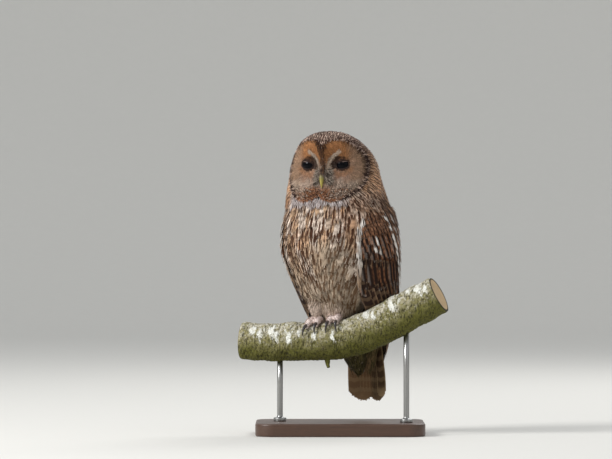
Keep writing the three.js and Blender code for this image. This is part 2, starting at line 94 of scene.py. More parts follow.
# The tail: up, back, half its width, thickness.
TAIL = np.array([(66, 76, 14, 9), (40, 80, 22, 11), (10, 84, 27, 10), (-25, 86, 29, 8),
                 (-60, 87, 31, 6), (-85, 87, 31, 4)])
TAIL_SHIFT, TAIL_ARCH = 6.0, 6.0

PERCH_YAW = radians(-15)
PERCH_ENDS = (-137.0, 137.0)
PERCH_RADIUS, PERCH_TAPER = 26.6, 0.008
PERCH_RISE = np.array([(-150, -1.5), (-95, -3.2), (-50, -3.4), (-10, -0.8), (30, 10), (70, 28.5),
                       (108, 49), (150, 71.5)])
FEET_APART = 35.0
# Each toe: where it starts, how far it splays, and how far it reaches round the perch.
TOES = {"second": (-5, -3, radians(41)), "third": (4.5, 3, radians(46)),
        "first": (-4, -5, radians(-32)), "fourth": (5, 9, radians(-38))}


# ------------------------------------------------------------------ small tools

def unit(v):
    """Vectors divided by their lengths."""
    return v / np.maximum(np.linalg.norm(v, axis=-1, keepdims=True), 1e-9)


def power(x, exponent):
    """A power of a number's size that keeps its sign."""
    return np.sign(x) * np.abs(x) ** exponent


def ease(low, high, x):
    """A smooth step: 0 up to low, 1 from high on, 3t^2 - 2t^3 between."""
    t = np.clip((x - low) / (high - low), 0, 1)
    return t * t * (3 - 2 * t)


def fade(low, high, x):
    """The reverse of the smooth step: 1 up to low and 0 from high on."""
    return 1 - ease(low, high, x)


def bell(x, middle, width, exponent=2):
    """1 at a middle, falling off to both sides over a width."""
    return np.exp(-(((x - middle) / width) ** exponent))


def blend(a, b, share):
    """Two colours, or two rows of them, mixed by a share for each row."""
    return a + (b - a) * np.asarray(share)[..., None]


def around(count, start=0.0):
    """Evenly spaced angles of one full turn."""
    return np.linspace(start, start + 2 * pi, count, endpoint=False)


def xyz(*values):
    """Points from three numbers or arrays of them."""
    return np.stack(np.broadcast_arrays(*values), -1).astype(float)


def turned(p, angle):
    """Points turned about the upright axis."""
    c, s = np.cos(angle), np.sin(angle)
    return np.stack([p[..., 0] * c - p[..., 1] * s, p[..., 0] * s + p[..., 1] * c, p[..., 2]], -1)


def to_scene(p):
    """Points from the owl's frame in millimetres to the scene in metres."""
    return (turned(p, BODY_YAW) + FOOTING) * MM


def to_owl(p):
    """Points from the scene in metres to the owl's frame in millimetres."""
    return turned(p / MM - FOOTING, -BODY_YAW)


def face_way(across, forward, up):
    """A direction given across, forward and up as the face sees it, in the owl's frame."""
    return turned(xyz(across, -np.asarray(forward), up), HEAD_TURN)


def from_face(across, forward, up):
    """A point given the same way from the face's centre."""
    return face_way(across, forward, up) + FACE_CENTRE


def to_face(p):
    """Points as seen from the face's centre: across, backward and up."""
    return turned(p - FACE_CENTRE, -HEAD_TURN)


def eye_centre(side):
    return from_face(side * EYE_ACROSS, EYE_FORWARD, EYE_UP)


def through(table, column, t, mirrored=True):
    """One column of a table of sections at t from 0 to 1: a Catmull-Rom curve. Its ends are mirrored, or
    repeat the last value."""
    v = table[:, column]
    ends = (2 * v[0] - v[1], 2 * v[-1] - v[-2]) if mirrored else (v[0], v[-1])
    v = np.concatenate([ends[:1], v, ends[1:]])
    p = np.clip(t, 0, 1) * (len(table) - 1)
    i = np.minimum(p.astype(int), len(table) - 2)
    w = p - i
    a, b, c, d = v[i], v[i + 1], v[i + 2], v[i + 3]
    return 0.5 * (2 * b + (c - a) * w + (2 * a - 5 * b + 4 * c - d) * w**2 + (3 * b - a - 3 * c + d) * w**3)


def section(table, t):
    """All columns of a table of sections at t."""
    return [through(table, k, t) for k in range(table.shape[1])]


def cloud(p, size, seed):
    """Soft unevenness from -1 to 1: the mean of six sine waves in random directions."""
    rng = np.random.default_rng(seed)
    way = unit(rng.normal(size=(6, p.shape[-1]))) * (2 * pi / size) * rng.uniform(0.6, 1.5, (6, 1))
    return np.sin(p @ way.T + rng.uniform(0, 2 * pi, 6)).mean(-1) * 1.8


# ------------------------------------------------------------------ surfaces as charts
# A chart is a function from places on a plane (..., 2) to points of a surface (..., 3).

FINE = np.linspace(0, 1, 2401)
BODY_FINE = np.stack(section(BODY, FINE), -1)
WING_FINE = np.stack(section(WING, FINE), -1)
# How far each section lies from the crown, measured down the body's side.
FROM_CROWN = np.concatenate(
    [[0], np.cumsum(np.hypot(np.diff(BODY_FINE[::-1, UP]), np.diff(BODY_FINE[::-1, SIDE])))])
DEGREE = 1.4  # one degree round the wing, in millimetres, on its chart
DOWN = np.array([0.0, 0.0, -1.0])


def body_value(column, up):
    """A column of the body's sections at a height."""
    return np.interp(up, BODY_FINE[:, UP], BODY_FINE[:, column])


def wing_value(column, up):
    """A column of the wing's sections at a height."""
    return np.interp(-up, -WING_FINE[:, UP], WING_FINE[:, column])


def section_at(up):
    """The place t of the body's section at a height."""
    return np.interp(up, BODY_FINE[:, UP], FINE)


def crown_distance(up):
    """How far down the side from the crown a height lies."""
    return np.interp(-np.asarray(up), -BODY_FINE[::-1, UP], FROM_CROWN)


def head_twist(up):
    """How far the body's sections are turned at a height: the neck takes up the head's turn."""
    return HEAD_TURN * ease(175, 222, up)


def face_relief(across, up):
    """The face's surface before the plain round: a ridge between two dishes round the eyes."""
    bowl = 0
    for side in (-1, 1):
        r = np.hypot(across - side * EYE_ACROSS, up - EYE_UP) / DISH_RADIUS
        bowl = bowl + np.where(r < 1, (1 - r * r) ** 2, 0)
    ends = ease(-26, -13, up) * fade(21, 34, up)
    return RIDGE_HEIGHT * bell(across, 0, RIDGE_WIDTH) * ends - DISH_DEPTH * bowl


def body_point(t, angle):
    """The body's surface: a squared ellipse for each section t, at an angle from its front."""
    up, back, side, front, rear = section(BODY, t)
    c = power(np.cos(angle), SQUARENESS)
    across = np.maximum(side, 0) * power(np.sin(angle), SQUARENESS)
    depth = np.maximum(np.where(c > 0, front, rear), 0) * c
    p = turned(xyz(across, -depth, 0), head_twist(up)) + xyz(0, back, up)
    relief = face_relief(across, up - FACE_CENTRE[2]) * ease(10, 34, depth)
    return p + relief[..., None] * face_way(0, 1, 0)


def split_polar(q):
    """Section t and angle of places given on a plane about the crown (x left, y back)."""
    rho = np.hypot(q[..., 0], q[..., 1])
    return np.interp(rho, FROM_CROWN, FINE[::-1]), np.arctan2(q[..., 0], -q[..., 1])


def on_body(q):
    """The body's surface over that plane."""
    return body_point(*split_polar(q))


def polar(rho, angle):
    """The place on that plane at a distance from the crown and an angle from the front."""
    return np.stack([rho * np.sin(angle), -rho * np.cos(angle)], -1)


def on_face(q):
    """The face's surface over (across, up) from its centre."""
    t = section_at(q[..., 1] + FACE_CENTRE[2])
    ratio = np.clip(q[..., 0] / np.maximum(through(BODY, SIDE, t), 1), -0.985, 0.985)
    return body_point(t, np.arcsin(power(ratio, 1 / SQUARENESS)))


def face_reach(up):
    """Half the head's width at a height from the face's centre."""
    return body_value(SIDE, up + FACE_CENTRE[2])


def local_place(q):
    """(across, up, forward) of body places, in the frame in which the face is drawn."""
    t, angle = split_polar(q)
    across = through(BODY, SIDE, t) * power(np.sin(angle), SQUARENESS)
    return across, through(BODY, UP, t) - FACE_CENTRE[2], np.cos(angle)


def lobe(across, up):
    """1 on the facial disc's outline, less inside it: the nearer of two ellipses."""
    x = np.abs(across) - LOBE["across"]
    return np.hypot(x / LOBE["wide"], (up - LOBE["up"]) / LOBE["high"])


def on_wing(side):
    """A chart of the wing's outer surface over (degrees round the body times DEGREE, height)."""
    def chart(q):
        a, up = np.radians(q[..., 0] / DEGREE), q[..., 1]
        back, wide, deep = (wing_value(k, up) for k in (BACK, SIDE, DEEP))
        return np.stack([side * wide * np.sin(a), back - deep * np.cos(a), up], -1)
    return chart


def wing_angle(p, up):
    """The angle of points round the wing's middle at a height, in degrees from the front."""
    return np.degrees(np.arctan2(np.abs(p[..., 0]), -(p[..., 1] - wing_value(BACK, up))))


def edges(chart, q, h=0.4):
    """A chart's point and the two vectors that a unit step in each of its directions makes."""
    here = chart(q)
    return here, (chart(q + [h, 0]) - here) / h, (chart(q + [0, h]) - here) / h


def walk(chart, q, aim, length, steps):
    """Carries places over a surface: each step lays the wished direction, a vector or a function of the
    point, into the surface by least squares on the chart's two edge vectors, and moves on by an equal
    share of the length. Returns the places on the way, (places, steps + 1, 2)."""
    route = [q]
    length = np.broadcast_to(length, len(q))
    for _ in range(steps):
        here, x, y = edges(chart, q)
        want = aim(here) if callable(aim) else aim
        a, b, c = (x * x).sum(-1), (x * y).sum(-1), (y * y).sum(-1)
        e, f = (want * x).sum(-1), (want * y).sum(-1)
        move = np.stack([c * e - b * f, a * f - b * e], -1)
        stride = np.linalg.norm(move[:, :1] * x + move[:, 1:] * y, axis=-1)
        q = q + move * (length / steps / np.maximum(stride, 1e-9))[:, None]
        route.append(q)
    return np.stack(route, 1)


def along(points):
    """How far each point of a line lies from its first, measured along it."""
    return np.concatenate([[0], np.cumsum(np.linalg.norm(np.diff(points, axis=0), axis=-1))])


def rings(low, high, step, across, rng, jitter=0.5):
    """Feather roots in rings round the body from one height to a lower one, staggered and uneven."""
    found = []
    for k, rho in enumerate(np.arange(crown_distance(low), crown_distance(high), step)):
        ring = on_body(polar(np.full(73, rho), np.linspace(0, 2 * pi, 73)))
        count = max(int(along(ring)[-1] / across), 3)
        angle = (np.arange(count) + 0.5 * (k % 2) + jitter * rng.uniform(-0.5, 0.5, count)) / count
        far = np.maximum(rho + step * jitter * rng.uniform(-0.5, 0.5, count), 0.5)
        found.append(polar(far, 2 * pi * angle - pi))
    return np.concatenate(found)


# ------------------------------------------------------------------ the perch

RISE = np.stack([through(PERCH_RISE, k, np.linspace(0, 1, 1401), mirrored=False) for k in (0, 1)], -1)
RISE_SLOPE = np.gradient(RISE[:, 1], RISE[:, 0])


def perch_frame(x):
    """The perch's axis at x: its point and the directions along it, to its front and up."""
    lean = tan(PERCH_YAW)
    point = xyz(x, FOOTING[1] + lean * (x - FOOTING[0]), FOOTING[2] + np.interp(x, RISE[:, 0], RISE[:, 1]))
    forth = unit(xyz(1, lean, np.interp(x, RISE[:, 0], RISE_SLOPE)))
    front = unit(np.cross(forth, [0, 0, 1]))
    return point, forth, front, np.cross(front, forth)


def perch_radius(x, angle):
    """The perch's radius: slightly uneven round it, with a knot on top."""
    uneven = 0.8 * np.sin(2 * angle + x / 31) + 0.5 * np.sin(3 * angle - x / 19)
    return PERCH_RADIUS + PERCH_TAPER * x + uneven + 5 * bell(x, -68, 15) * bell(angle, 0.15, 0.6)


def from_end(x):
    """How far from the perch's nearer end x lies."""
    return np.minimum(x - PERCH_ENDS[0], PERCH_ENDS[1] - x)


def on_perch(x, angle, out=0.0):
    """A point on the perch or so far off it, in scene millimetres: angle 0 is its top."""
    point, _, front, up = perch_frame(x)
    r = perch_radius(x, angle) + out
    return point + up * (r * np.cos(angle))[..., None] + front * (r * np.sin(angle))[..., None]


def perch_place(w):
    """Scene millimetres as places on the perch: x of the nearest point of its axis, radius and angle."""
    x = w[..., 0]
    for _ in range(3):
        point, forth, front, up = perch_frame(x)
        x = x + ((w - point) * forth).sum(-1) * forth[..., 0]
    point, forth, front, up = perch_frame(x)
    a, b = ((w - point) * up).sum(-1), ((w - point) * front).sum(-1)
    return x, np.hypot(a, b), np.arctan2(b, a), up, front


def off_perch(p, gap=0.4):
    """Owl-frame points pushed out of the perch to lie on its bark, where they would be inside it."""
    w = to_scene(p) / MM
    x, r, angle, up, front = perch_place(w)
    need = np.maximum(perch_radius(x, angle) + gap, r)
    inside = (from_end(x) > -3) & (need > r)
    push = (up * np.cos(angle)[..., None] + front * np.sin(angle)[..., None]) * (need - r)[..., None]
    return to_owl(np.where(inside[..., None], w + push, w) * MM)


# ------------------------------------------------------------------ meshes

def make_object(name, points, quads):
    """A smooth mesh object from scene points in metres and quads, without a loop over either."""
    mesh = bpy.data.meshes.new(name)
    mesh.vertices.add(len(points))
    mesh.vertices.foreach_set("co", np.ascontiguousarray(points, np.float32).ravel())
    mesh.loops.add(quads.size)
    mesh.loops.foreach_set("vertex_index", np.ascontiguousarray(quads, np.int32).ravel())
    mesh.polygons.add(len(quads))
    mesh.polygons.foreach_set("loop_start", np.arange(0, quads.size, quads.shape[1], dtype=np.int32))
    mesh.update(calc_edges=True)
    smooth(mesh)
    obj = bpy.data.objects.new(name, mesh)
    bpy.context.collection.objects.link(obj)
    return obj


def smooth(mesh):
    mesh.polygons.foreach_set("use_smooth", np.ones(len(mesh.polygons), bool))


def points_of(obj):
    """An object's points in scene metres."""
    co = np.empty(len(obj.data.vertices) * 3, np.float32)
    obj.data.vertices.foreach_get("co", co)
    return co.reshape(-1, 3).astype(float)


def add_attribute(obj, name, values):
    """Keeps a number or three for each vertex: as a colour under the names ground and mark, otherwise as
    a plain number or a vector."""
    values = np.asarray(values, np.float32)
    kind, key = ("FLOAT", "value") if values.ndim == 1 else ("FLOAT_VECTOR", "vector")
    if name in ("ground", "mark"):
        kind, key = "FLOAT_COLOR", "color"
        values = np.concatenate([values, np.ones((len(values), 1), np.float32)], -1)
    obj.data.attributes.new(name, kind, "POINT").data.foreach_set(key, values.ravel())


def add_uv(obj, uv):
    """The UV map OFBake from one place for each vertex."""
    corner = np.empty(len(obj.data.loops), np.int32)
    obj.data.loops.foreach_get("vertex_index", corner)
    layer = obj.data.uv_layers.new(name="OFBake")
    layer.uv.foreach_set("vector", uv[corner].astype(np.float32).ravel())


def settle(obj, material, slot, *nodes):
    """Gives a piece its material and its body, and hides the solids it stands for. Its slot is not used."""
    obj.data.materials.append(material)
    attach(obj, "root")
    if nodes:
        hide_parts(*nodes)


def grid_quads(rows, columns, start=0):
    """Quads of a grid of rows by columns of points, closed round."""
    i, j = np.meshgrid(np.arange(rows - 1), np.arange(columns), indexing="ij")
    k = (j + 1) % columns
    quads = np.stack([i * columns + j, i * columns + k, (i + 1) * columns + k, (i + 1) * columns + j], -1)
    return quads.reshape(-1, 4) + start


def shells(name, *grids):
    """One mesh of closed shells. Each is a grid of points (rows, columns, 3) in scene metres, whose first
    and last rows close on their middles. Doubled points are merged and the faces turned outwards."""
    points, quads, count = [], [], 0
    for grid in grids:
        rows, columns = grid.shape[:2]
        first, last = grid[:1].mean(1, keepdims=True), grid[-1:].mean(1, keepdims=True)
        points += [np.repeat(first, columns, 1), grid, np.repeat(last, columns, 1)]
        quads.append(grid_quads(rows + 2, columns, count))
        count += (rows + 2) * columns
    obj = make_object(name, np.concatenate([p.reshape(-1, 3) for p in points]), np.concatenate(quads))
    work = bmesh.new()
    work.from_mesh(obj.data)
    bmesh.ops.remove_doubles(work, verts=work.verts, dist=0.01 * MM)
    bmesh.ops.recalc_face_normals(work, faces=work.faces)
    work.to_mesh(obj.data)
    work.free()
    smooth(obj.data)
    return obj


class Coat:
    """Feathers gathered into one mesh. Each is a vane split into strips of barbs, so that its tip is
    frayed; its root lies under the surface and its tip on it."""

    def __init__(self, seed):
        self.rng = np.random.default_rng(seed)
        self.batches, self.quads, self.count = [], [], 0

    def add(self, chart, route, width, look, strips=5, depth=4.0, lift=0.4, camber=0.25, fray=0.12,
            roundness=0.3, tilt=0.0, facing=1, mirror=1, place=None, patch=(0.003, 0.003),
            neck=0.45, above=0.0, keep_off=True):
        """route holds each feather's spine as chart places and width is half the vane's. A root lies
        depth under the surface, a tip lift over it, and the whole feather above it. place and patch say
        where on the UV map a feather lies, and how large it is there."""
        n, rows = len(route), route.shape[1] - 1
        each = lambda a: np.broadcast_to(a, n)[:, None, None]
        spine, x, y = edges(chart, route)
        normal = unit(np.cross(x, y)) * facing
        side = unit(np.cross(normal, unit(np.gradient(spine, axis=1))))
        width, depth, lift = each(width), each(depth), each(lift)
        length = each(np.linalg.norm(np.diff(spine, axis=1), axis=-1).sum(-1))
        middle = np.linspace(-1, 1, strips + 2)[1:-1]
        end = 1 - roundness * np.abs(middle) ** 2.2 - fray * self.rng.random((n, strips))
        t = end[..., None] * np.linspace(0, 1, rows + 1)
        pick = t * rows
        low = np.minimum(pick.astype(int), rows - 1)
        w = (pick - low)[..., None]
        who = np.arange(n)[:, None, None]
        s, nrm, lat = (a[who, low] * (1 - w) + a[who, low + 1] * w for a in (spine, normal, side))
        spread = neck + (1 - neck) * ease(0, 0.5, t)
        blunt = np.interp(length, (20, 60), (0.8, 0.15))
        half = 1.25 / (strips + 1) * (1 - blunt * (t / end[..., None]) ** np.maximum(3, 0.2 * length))
        u = np.stack([middle[:, None] - half, middle[:, None] + half], -1)
        across = u * (spread * width)[..., None]
        wobble = 0.12 * self.rng.normal(size=(n, strips))[..., None] + 0.2 * each(self.rng.normal(size=n))
        height = above - depth * (1 - t) ** 1.4 + lift * t**2 + wobble * t
        height = height[..., None] - (camber * u**2 + tilt * u) * width[..., None]
        p = s[..., None, :] + lat[..., None, :] * across[..., None] + nrm[..., None, :] * height[..., None]
        shape = p.shape[:-1]
        p = p.reshape(-1, 3)
        if keep_off:
            p = off_perch(p)
        grid = lambda a: np.broadcast_to(a, shape).ravel()
        vane = np.stack([grid(u * mirror), grid(t[..., None]), grid(each(self.rng.random(n))[..., None])], -1)
        batch = dict(co=to_scene(p), vane=vane, patch=(vane[:, :2] * [0.5, 1] - [0, 0.5]) * patch,
                     barb=np.stack([grid(across * mirror), grid((t * length)[..., None]), grid(0.0)], -1))
        for key, value in (*look.items(), ("place", route[:, 0] if place is None else place)):
            batch[key] = np.repeat(value, len(p) // n, axis=0)
        self.batches.append(batch)
        one = np.arange(rows)[:, None] * 2 + [0, 2, 3, 1]
        starts = self.count + np.arange(n * strips)[:, None, None] * (rows + 1) * 2
        self.quads.append((one[None] + starts).reshape(-1, 4))
        self.count += n * strips * (rows + 1) * 2

    def make(self, name, slot, plumage, period, white, **finish):
        """The coat's piece, with its attributes, UV map and material."""
        whole = {key: np.concatenate([b[key] for b in self.batches]) for key in self.batches[0]}
        obj = make_object(name, whole["co"], np.concatenate(self.quads))
        for key in ("ground", "mark", "vane", "barb", "pattern", "trim"):
            add_attribute(obj, key, whole[key])
        low, high = whole["place"].min(0), whole["place"].max(0)
        uv = 0.02 + 0.96 * (whole["place"] - low) / np.maximum(high - low, 1e-6) + whole["patch"]
        add_uv(obj, np.clip(uv, 0.001, 0.999))
        settle(obj, feather_paint(plumage, period, white, **finish), slot)


# ------------------------------------------------------------------ materials

def sum_of(operation, swapped=False):
    """A method of Wire that adds the Math node of one operation."""
    return lambda a, b: a.paint.math(operation, *((b, a) if swapped else (a, b)))


class Wire:
    """A shader socket that can be used in sums: every operator adds its Math node."""

    def __init__(self, paint, socket):
        self.paint, self.socket = paint, socket

    __add__, __radd__ = sum_of("ADD"), sum_of("ADD", True)
    __sub__, __rsub__ = sum_of("SUBTRACT"), sum_of("SUBTRACT", True)
    __mul__, __rmul__ = sum_of("MULTIPLY"), sum_of("MULTIPLY", True)


class Paint:
    """One material and the nodes that make its finish."""

    def __init__(self, name, roughness, **constant):
        self.material = bpy.data.materials.new(name)
        self.material.use_nodes = True
        self.tree = self.material.node_tree
        self.tree.nodes.clear()
        self.shader = self.node("ShaderNodeBsdfPrincipled", {}, {"Roughness": roughness, **constant})
        self.node("ShaderNodeOutputMaterial", {}, {"Surface": Wire(self, self.shader.outputs[0])})

    def node(self, kind, settings, sockets):
        """Adds a node: its settings first, then its sockets' values or links."""
        node = self.tree.nodes.new(kind)
        for key, value in settings.items():
            setattr(node, key, value)
        for key, value in sockets.items():
            socket = node.inputs[key]
            if isinstance(value, Wire):
                self.tree.links.new(value.socket, socket)
            else:
                socket.default_value = (*value, 1) if socket.type == "RGBA" else value
        return node

    def out(self, key, kind, settings, sockets):
        """Adds a node and gives one of its outputs."""
        return Wire(self, self.node(kind, settings, sockets).outputs[key])

    def math(self, operation, *values):
        return self.out(0, "ShaderNodeMath", {"operation": operation}, dict(enumerate(values)))

    def step(self, low, high, value):
        """A smooth step of a value between two others."""
        return self.out(0, "ShaderNodeMapRange", {"interpolation_type": "SMOOTHSTEP"},
                        {"Value": value, "From Min": low, "From Max": high})

    def mix(self, share, a, b):
        """Colour a turned into colour b by a share."""
        return self.out(2, "ShaderNodeMix", {"data_type": "RGBA"}, {0: share, 6: a, 7: b})

    def scale(self, colour, amount):
        """A colour made lighter or darker by a number."""
        return self.out(0, "ShaderNodeVectorMath", {"operation": "SCALE"}, {0: colour, 3: amount})

    def attribute(self, name, key="Color"):
        return self.out(key, "ShaderNodeAttribute", {"attribute_name": name}, {})

    def split(self, vector):
        node = self.node("ShaderNodeSeparateXYZ", {}, {0: vector})
        return [Wire(self, out) for out in node.outputs]

    def join(self, x, y, z=0.0):
        return self.out(0, "ShaderNodeCombineXYZ", {}, {0: x, 1: y, 2: z})

    def noise(self, vector, scale, detail=3.0, roughness=0.55):
        return self.out(0, "ShaderNodeTexNoise", {},
                        {"Vector": vector, "Scale": scale, "Detail": detail, "Roughness": roughness})

    def place(self):
        """The object's own coordinates, in metres."""
        return self.out("Object", "ShaderNodeTexCoord", {}, {})

    def finish(self, colour, roughness=None, height=None, depth=0.0003, strength=0.5):
        """Links the colour, the roughness and a bump from a height."""
        links = {"Base Color": colour, "Roughness": roughness}
        if height is not None:
            links["Normal"] = self.out(0, "ShaderNodeBump", {},
                                       {"Strength": strength, "Distance": depth, "Height": height})
        for key, wire in links.items():
            if wire is not None:
                self.tree.links.new(wire.socket, self.shader.inputs[key])
        return self.material


def feather_paint(name, period, white, duty=0.15, stagger=1.0):
    """Feathers: a ragged streak along the shaft and bars across the vane in the mark's colour, a white
    spot on the outer web, a pale edge, painted shade towards the root, and the fine lines of the barbs.
    The bars are a sine of the length over their period, shifted by the feather's own number."""
    paint = Paint(name, 0.8, **{"Specular IOR Level": 0.12})
    u, v, seed = paint.split(paint.attribute("vane", "Vector"))
    across, length, _ = paint.split(paint.attribute("barb", "Vector"))
    streak, bars, dusk = paint.split(paint.attribute("pattern", "Vector"))
    spot, pale, _ = paint.split(paint.attribute("trim", "Vector"))
    off, off_shaft = paint.math("ABSOLUTE", u), paint.math("ABSOLUTE", across)
    barbs = paint.join(off_shaft * 0.9 - length, across * 0.25, seed * 40)
    ragged = paint.noise(barbs, 1.3) - 0.5
    body = paint.noise(paint.join(across * 0.3, length * 0.12, seed * 90), 1.0, 2.0) - 0.5
    shaft = 1 - paint.step(streak * 0.6, streak * 1.25, off + ragged * 0.3 + body * 0.3)
    shaft = shaft * paint.step(0.0, 0.05, streak)
    phase = length * (1 / period) + off * 0.22 + seed * stagger
    bar = paint.step(duty - 0.3, duty + 0.35, paint.math("SINE", phase * (2 * pi) + ragged * 2.0)) * bars
    mask = paint.math("MAXIMUM", shaft, bar)
    colour = paint.mix(mask, paint.attribute("ground"), paint.attribute("mark"))
    patch = paint.step(0.0, 0.3, u + ragged * 0.3) * paint.step(0.3, 0.5, v) * (1 - paint.step(0.84, 0.97, v))
    colour = paint.mix(patch * spot, colour, white)
    rim = paint.math("MAXIMUM", paint.step(0.62, 0.95, off + ragged * 0.2), paint.step(0.86, 0.99, v))
    colour = paint.mix(rim * pale, colour, white)
    # Painted shade: each feather darkens towards its root, where it passes under the feathers above, by its
    # dusk share.
    tone = 0.82 + 0.36 * seed + ragged * 0.4 - dusk * (1 - v) * 0.5
    lines = paint.math("SINE", (off_shaft * 0.8 - length) * 8.0)
    return paint.finish(paint.scale(colour, tone), None, lines * 0.4 + ragged)


# ------------------------------------------------------------------ what a user may change

def tint(name, red, green, blue, text):
    """A colour, given by its display values 0 to 255 and kept as linear light."""
    c = np.array([red, green, blue]) / 255
    linear = np.where(c <= 0.04045, c / 12.92, ((c + 0.055) / 1.055) ** 2.4)
    return FloatVectorProperty(name=name, description=text, default=tuple(map(float, linear)), size=3,
                               subtype="COLOR", min=0, max=1)


def size(name, default, text):
    return FloatProperty(name=name, description=text, default=default * MM, min=0, unit="LENGTH",
                         subtype="DISTANCE")


class HeadLook(PropertyGroup):
    rufous: tint("Rufous", 192, 134, 88, "Upper part of the facial disc")
    beige: tint("Beige", 166, 134, 108, "Outer part of the facial disc")
    cheek: tint("Cheek", 190, 156, 134, "Lower part of the facial disc")
    white: tint("White", 212, 194, 176, "The pale brows and chin")
    dusk: tint("Dusk", 44, 30, 26, "Dark wedge, rim of the disc and surround of the eye")
    bristle: tint("Bristles", 128, 118, 106, "Bristles beside the bill")
    ruff: tint("Ruff", 166, 112, 78, "Barred ruff under the disc")
    crown: tint("Crown", 232, 200, 180, "Ground of the crown and nape")
    crown_mark: tint("Crown marks", 58, 36, 30, "Streaks and bars of the crown and nape")
    disc_feather: size("Disc feather", 8.5, "Length of the disc's feathers")
    crown_feather: size("Crown feather", 14, "Length of the crown's feathers")


class BodyLook(PropertyGroup):
    bib: tint("Bib", 188, 178, 176, "Pale band under the ruff")
    breast: tint("Breast", 190, 158, 128, "Ground of the breast")
    rufous: tint("Rufous breast", 164, 118, 84, "Warm parts of the breast")
    pale: tint("Pale breast", 222, 204, 188, "Pale patches of the breast")
    streak: tint("Streaks", 70, 44, 30, "Shaft streaks of the breast")
    belly: tint("Belly", 168, 150, 130, "Ground of the belly and flanks")
    belly_mark: tint("Belly marks", 104, 82, 62, "Streaks of the belly")
    mantle: tint("Mantle", 158, 122, 94, "Ground of the back")
    mantle_mark: tint("Mantle marks", 58, 37, 29, "Streaks and bars of the back")
    # The vent's colour is darker than its feathers' own, as painted shade under the tail and perch.
    vent: tint("Vent", 84, 76, 46, "Feathers under the tail")
    feather: size("Body feather", 30, "Length of the breast's feathers")


class WingLook(PropertyGroup):
    shoulder: tint("Shoulder", 136, 98, 74, "Ground of the small coverts")
    covert: tint("Coverts", 160, 108, 76, "Ground of the larger coverts")
    dark: tint("Dark", 38, 25, 20, "Centres of the coverts and the flight feathers")
    buff: tint("Buff", 186, 152, 120, "Bars of the flight feathers")
    white: tint("White", 232, 224, 216, "White spots and the wing's front edge")
    tail_dark: tint("Tail", 92, 70, 50, "Dark ground of the tail")
    tail_buff: tint("Tail bars", 160, 136, 102, "Pale bars of the tail")


class FootLook(PropertyGroup):
    toe: tint("Toes", 250, 232, 224, "Feathered toes")
    leg: tint("Legs", 218, 196, 180, "Feathered legs")
    talon: tint("Talons", 44, 38, 38, "Talons")
    talon_root: tint("Talon roots", 104, 92, 86, "Talons where they leave the toes")
    bill: tint("Bill", 166, 152, 70, "Horn of the bill")
    bill_root: tint("Bill root", 88, 80, 46, "Bill where it leaves the face")
    eye: tint("Eyes", 22, 15, 15, "Iris")
    lid: tint("Lids", 176, 150, 138, "Bare rims of the lids")


class PerchLook(PropertyGroup):
    bark: tint("Bark", 138, 130, 92, "Grey-green bark")
    crust: tint("Crust", 196, 190, 172, "Grey crust on the upper side")
    moss: tint("Moss", 88, 87, 30, "Algae and moss on the lower side")
    lichen: tint("Lichen", 222, 222, 214, "White patches of lichen")
    fissure: tint("Fissures", 44, 40, 18, "Cracks of the bark")
    heart: tint("Cut wood", 196, 168, 128, "The perch's cut ends")
    wood: tint("Base", 74, 50, 36, "The stand's wooden base")
    steel: tint("Rods", 168, 168, 166, "The stand's rods")
    floor: tint("Floor", 214, 212, 206, "Floor and backdrop")


def look_at(group):
    """One group's values: its colours as arrays and its lengths in millimetres."""
    values = getattr(bpy.context.scene, group)
    read = lambda v: v / MM if isinstance(v, float) else np.array(v)
    return SimpleNamespace(**{key: read(getattr(values, key)) for key in LOOKS[group].__annotations__})


# ------------------------------------------------------------------ markings

def look_of(ground, mark, streak=0.3, bars=0.2, dusk=0.5, spot=0.0, pale=0.0):
    """The colours and pattern of a set of feathers, one row for each."""
    rows = np.zeros(len(ground))
    # dusk is how much painted shade a feather takes towards its root.
    return dict(ground=ground, mark=np.broadcast_to(mark, ground.shape),
                pattern=xyz(streak + rows, bars, dusk), trim=xyz(spot + rows, pale, 0))


# The pale curve between eye and ridge: its first end, the point it bends to and its last end.
BROW = np.array([(22.0, 17.5), (8.1, 10.6), (4.5, -7.0)])


def brow_line(t):
    """The pale curve at t from 0 to 1: a quadratic Bezier curve."""
    a, b, c = BROW
    return a * (1 - t) ** 2 + 2 * b * t * (1 - t) + c * t * t


def brow(across, up):
    """How far a place on the face lies from the pale curve between the eye and the ridge."""
    here = np.stack([np.abs(across), up], -1)
    return np.linalg.norm(here[:, None] - brow_line(np.linspace(0, 1, 13)[:, None]), axis=-1).min(1)


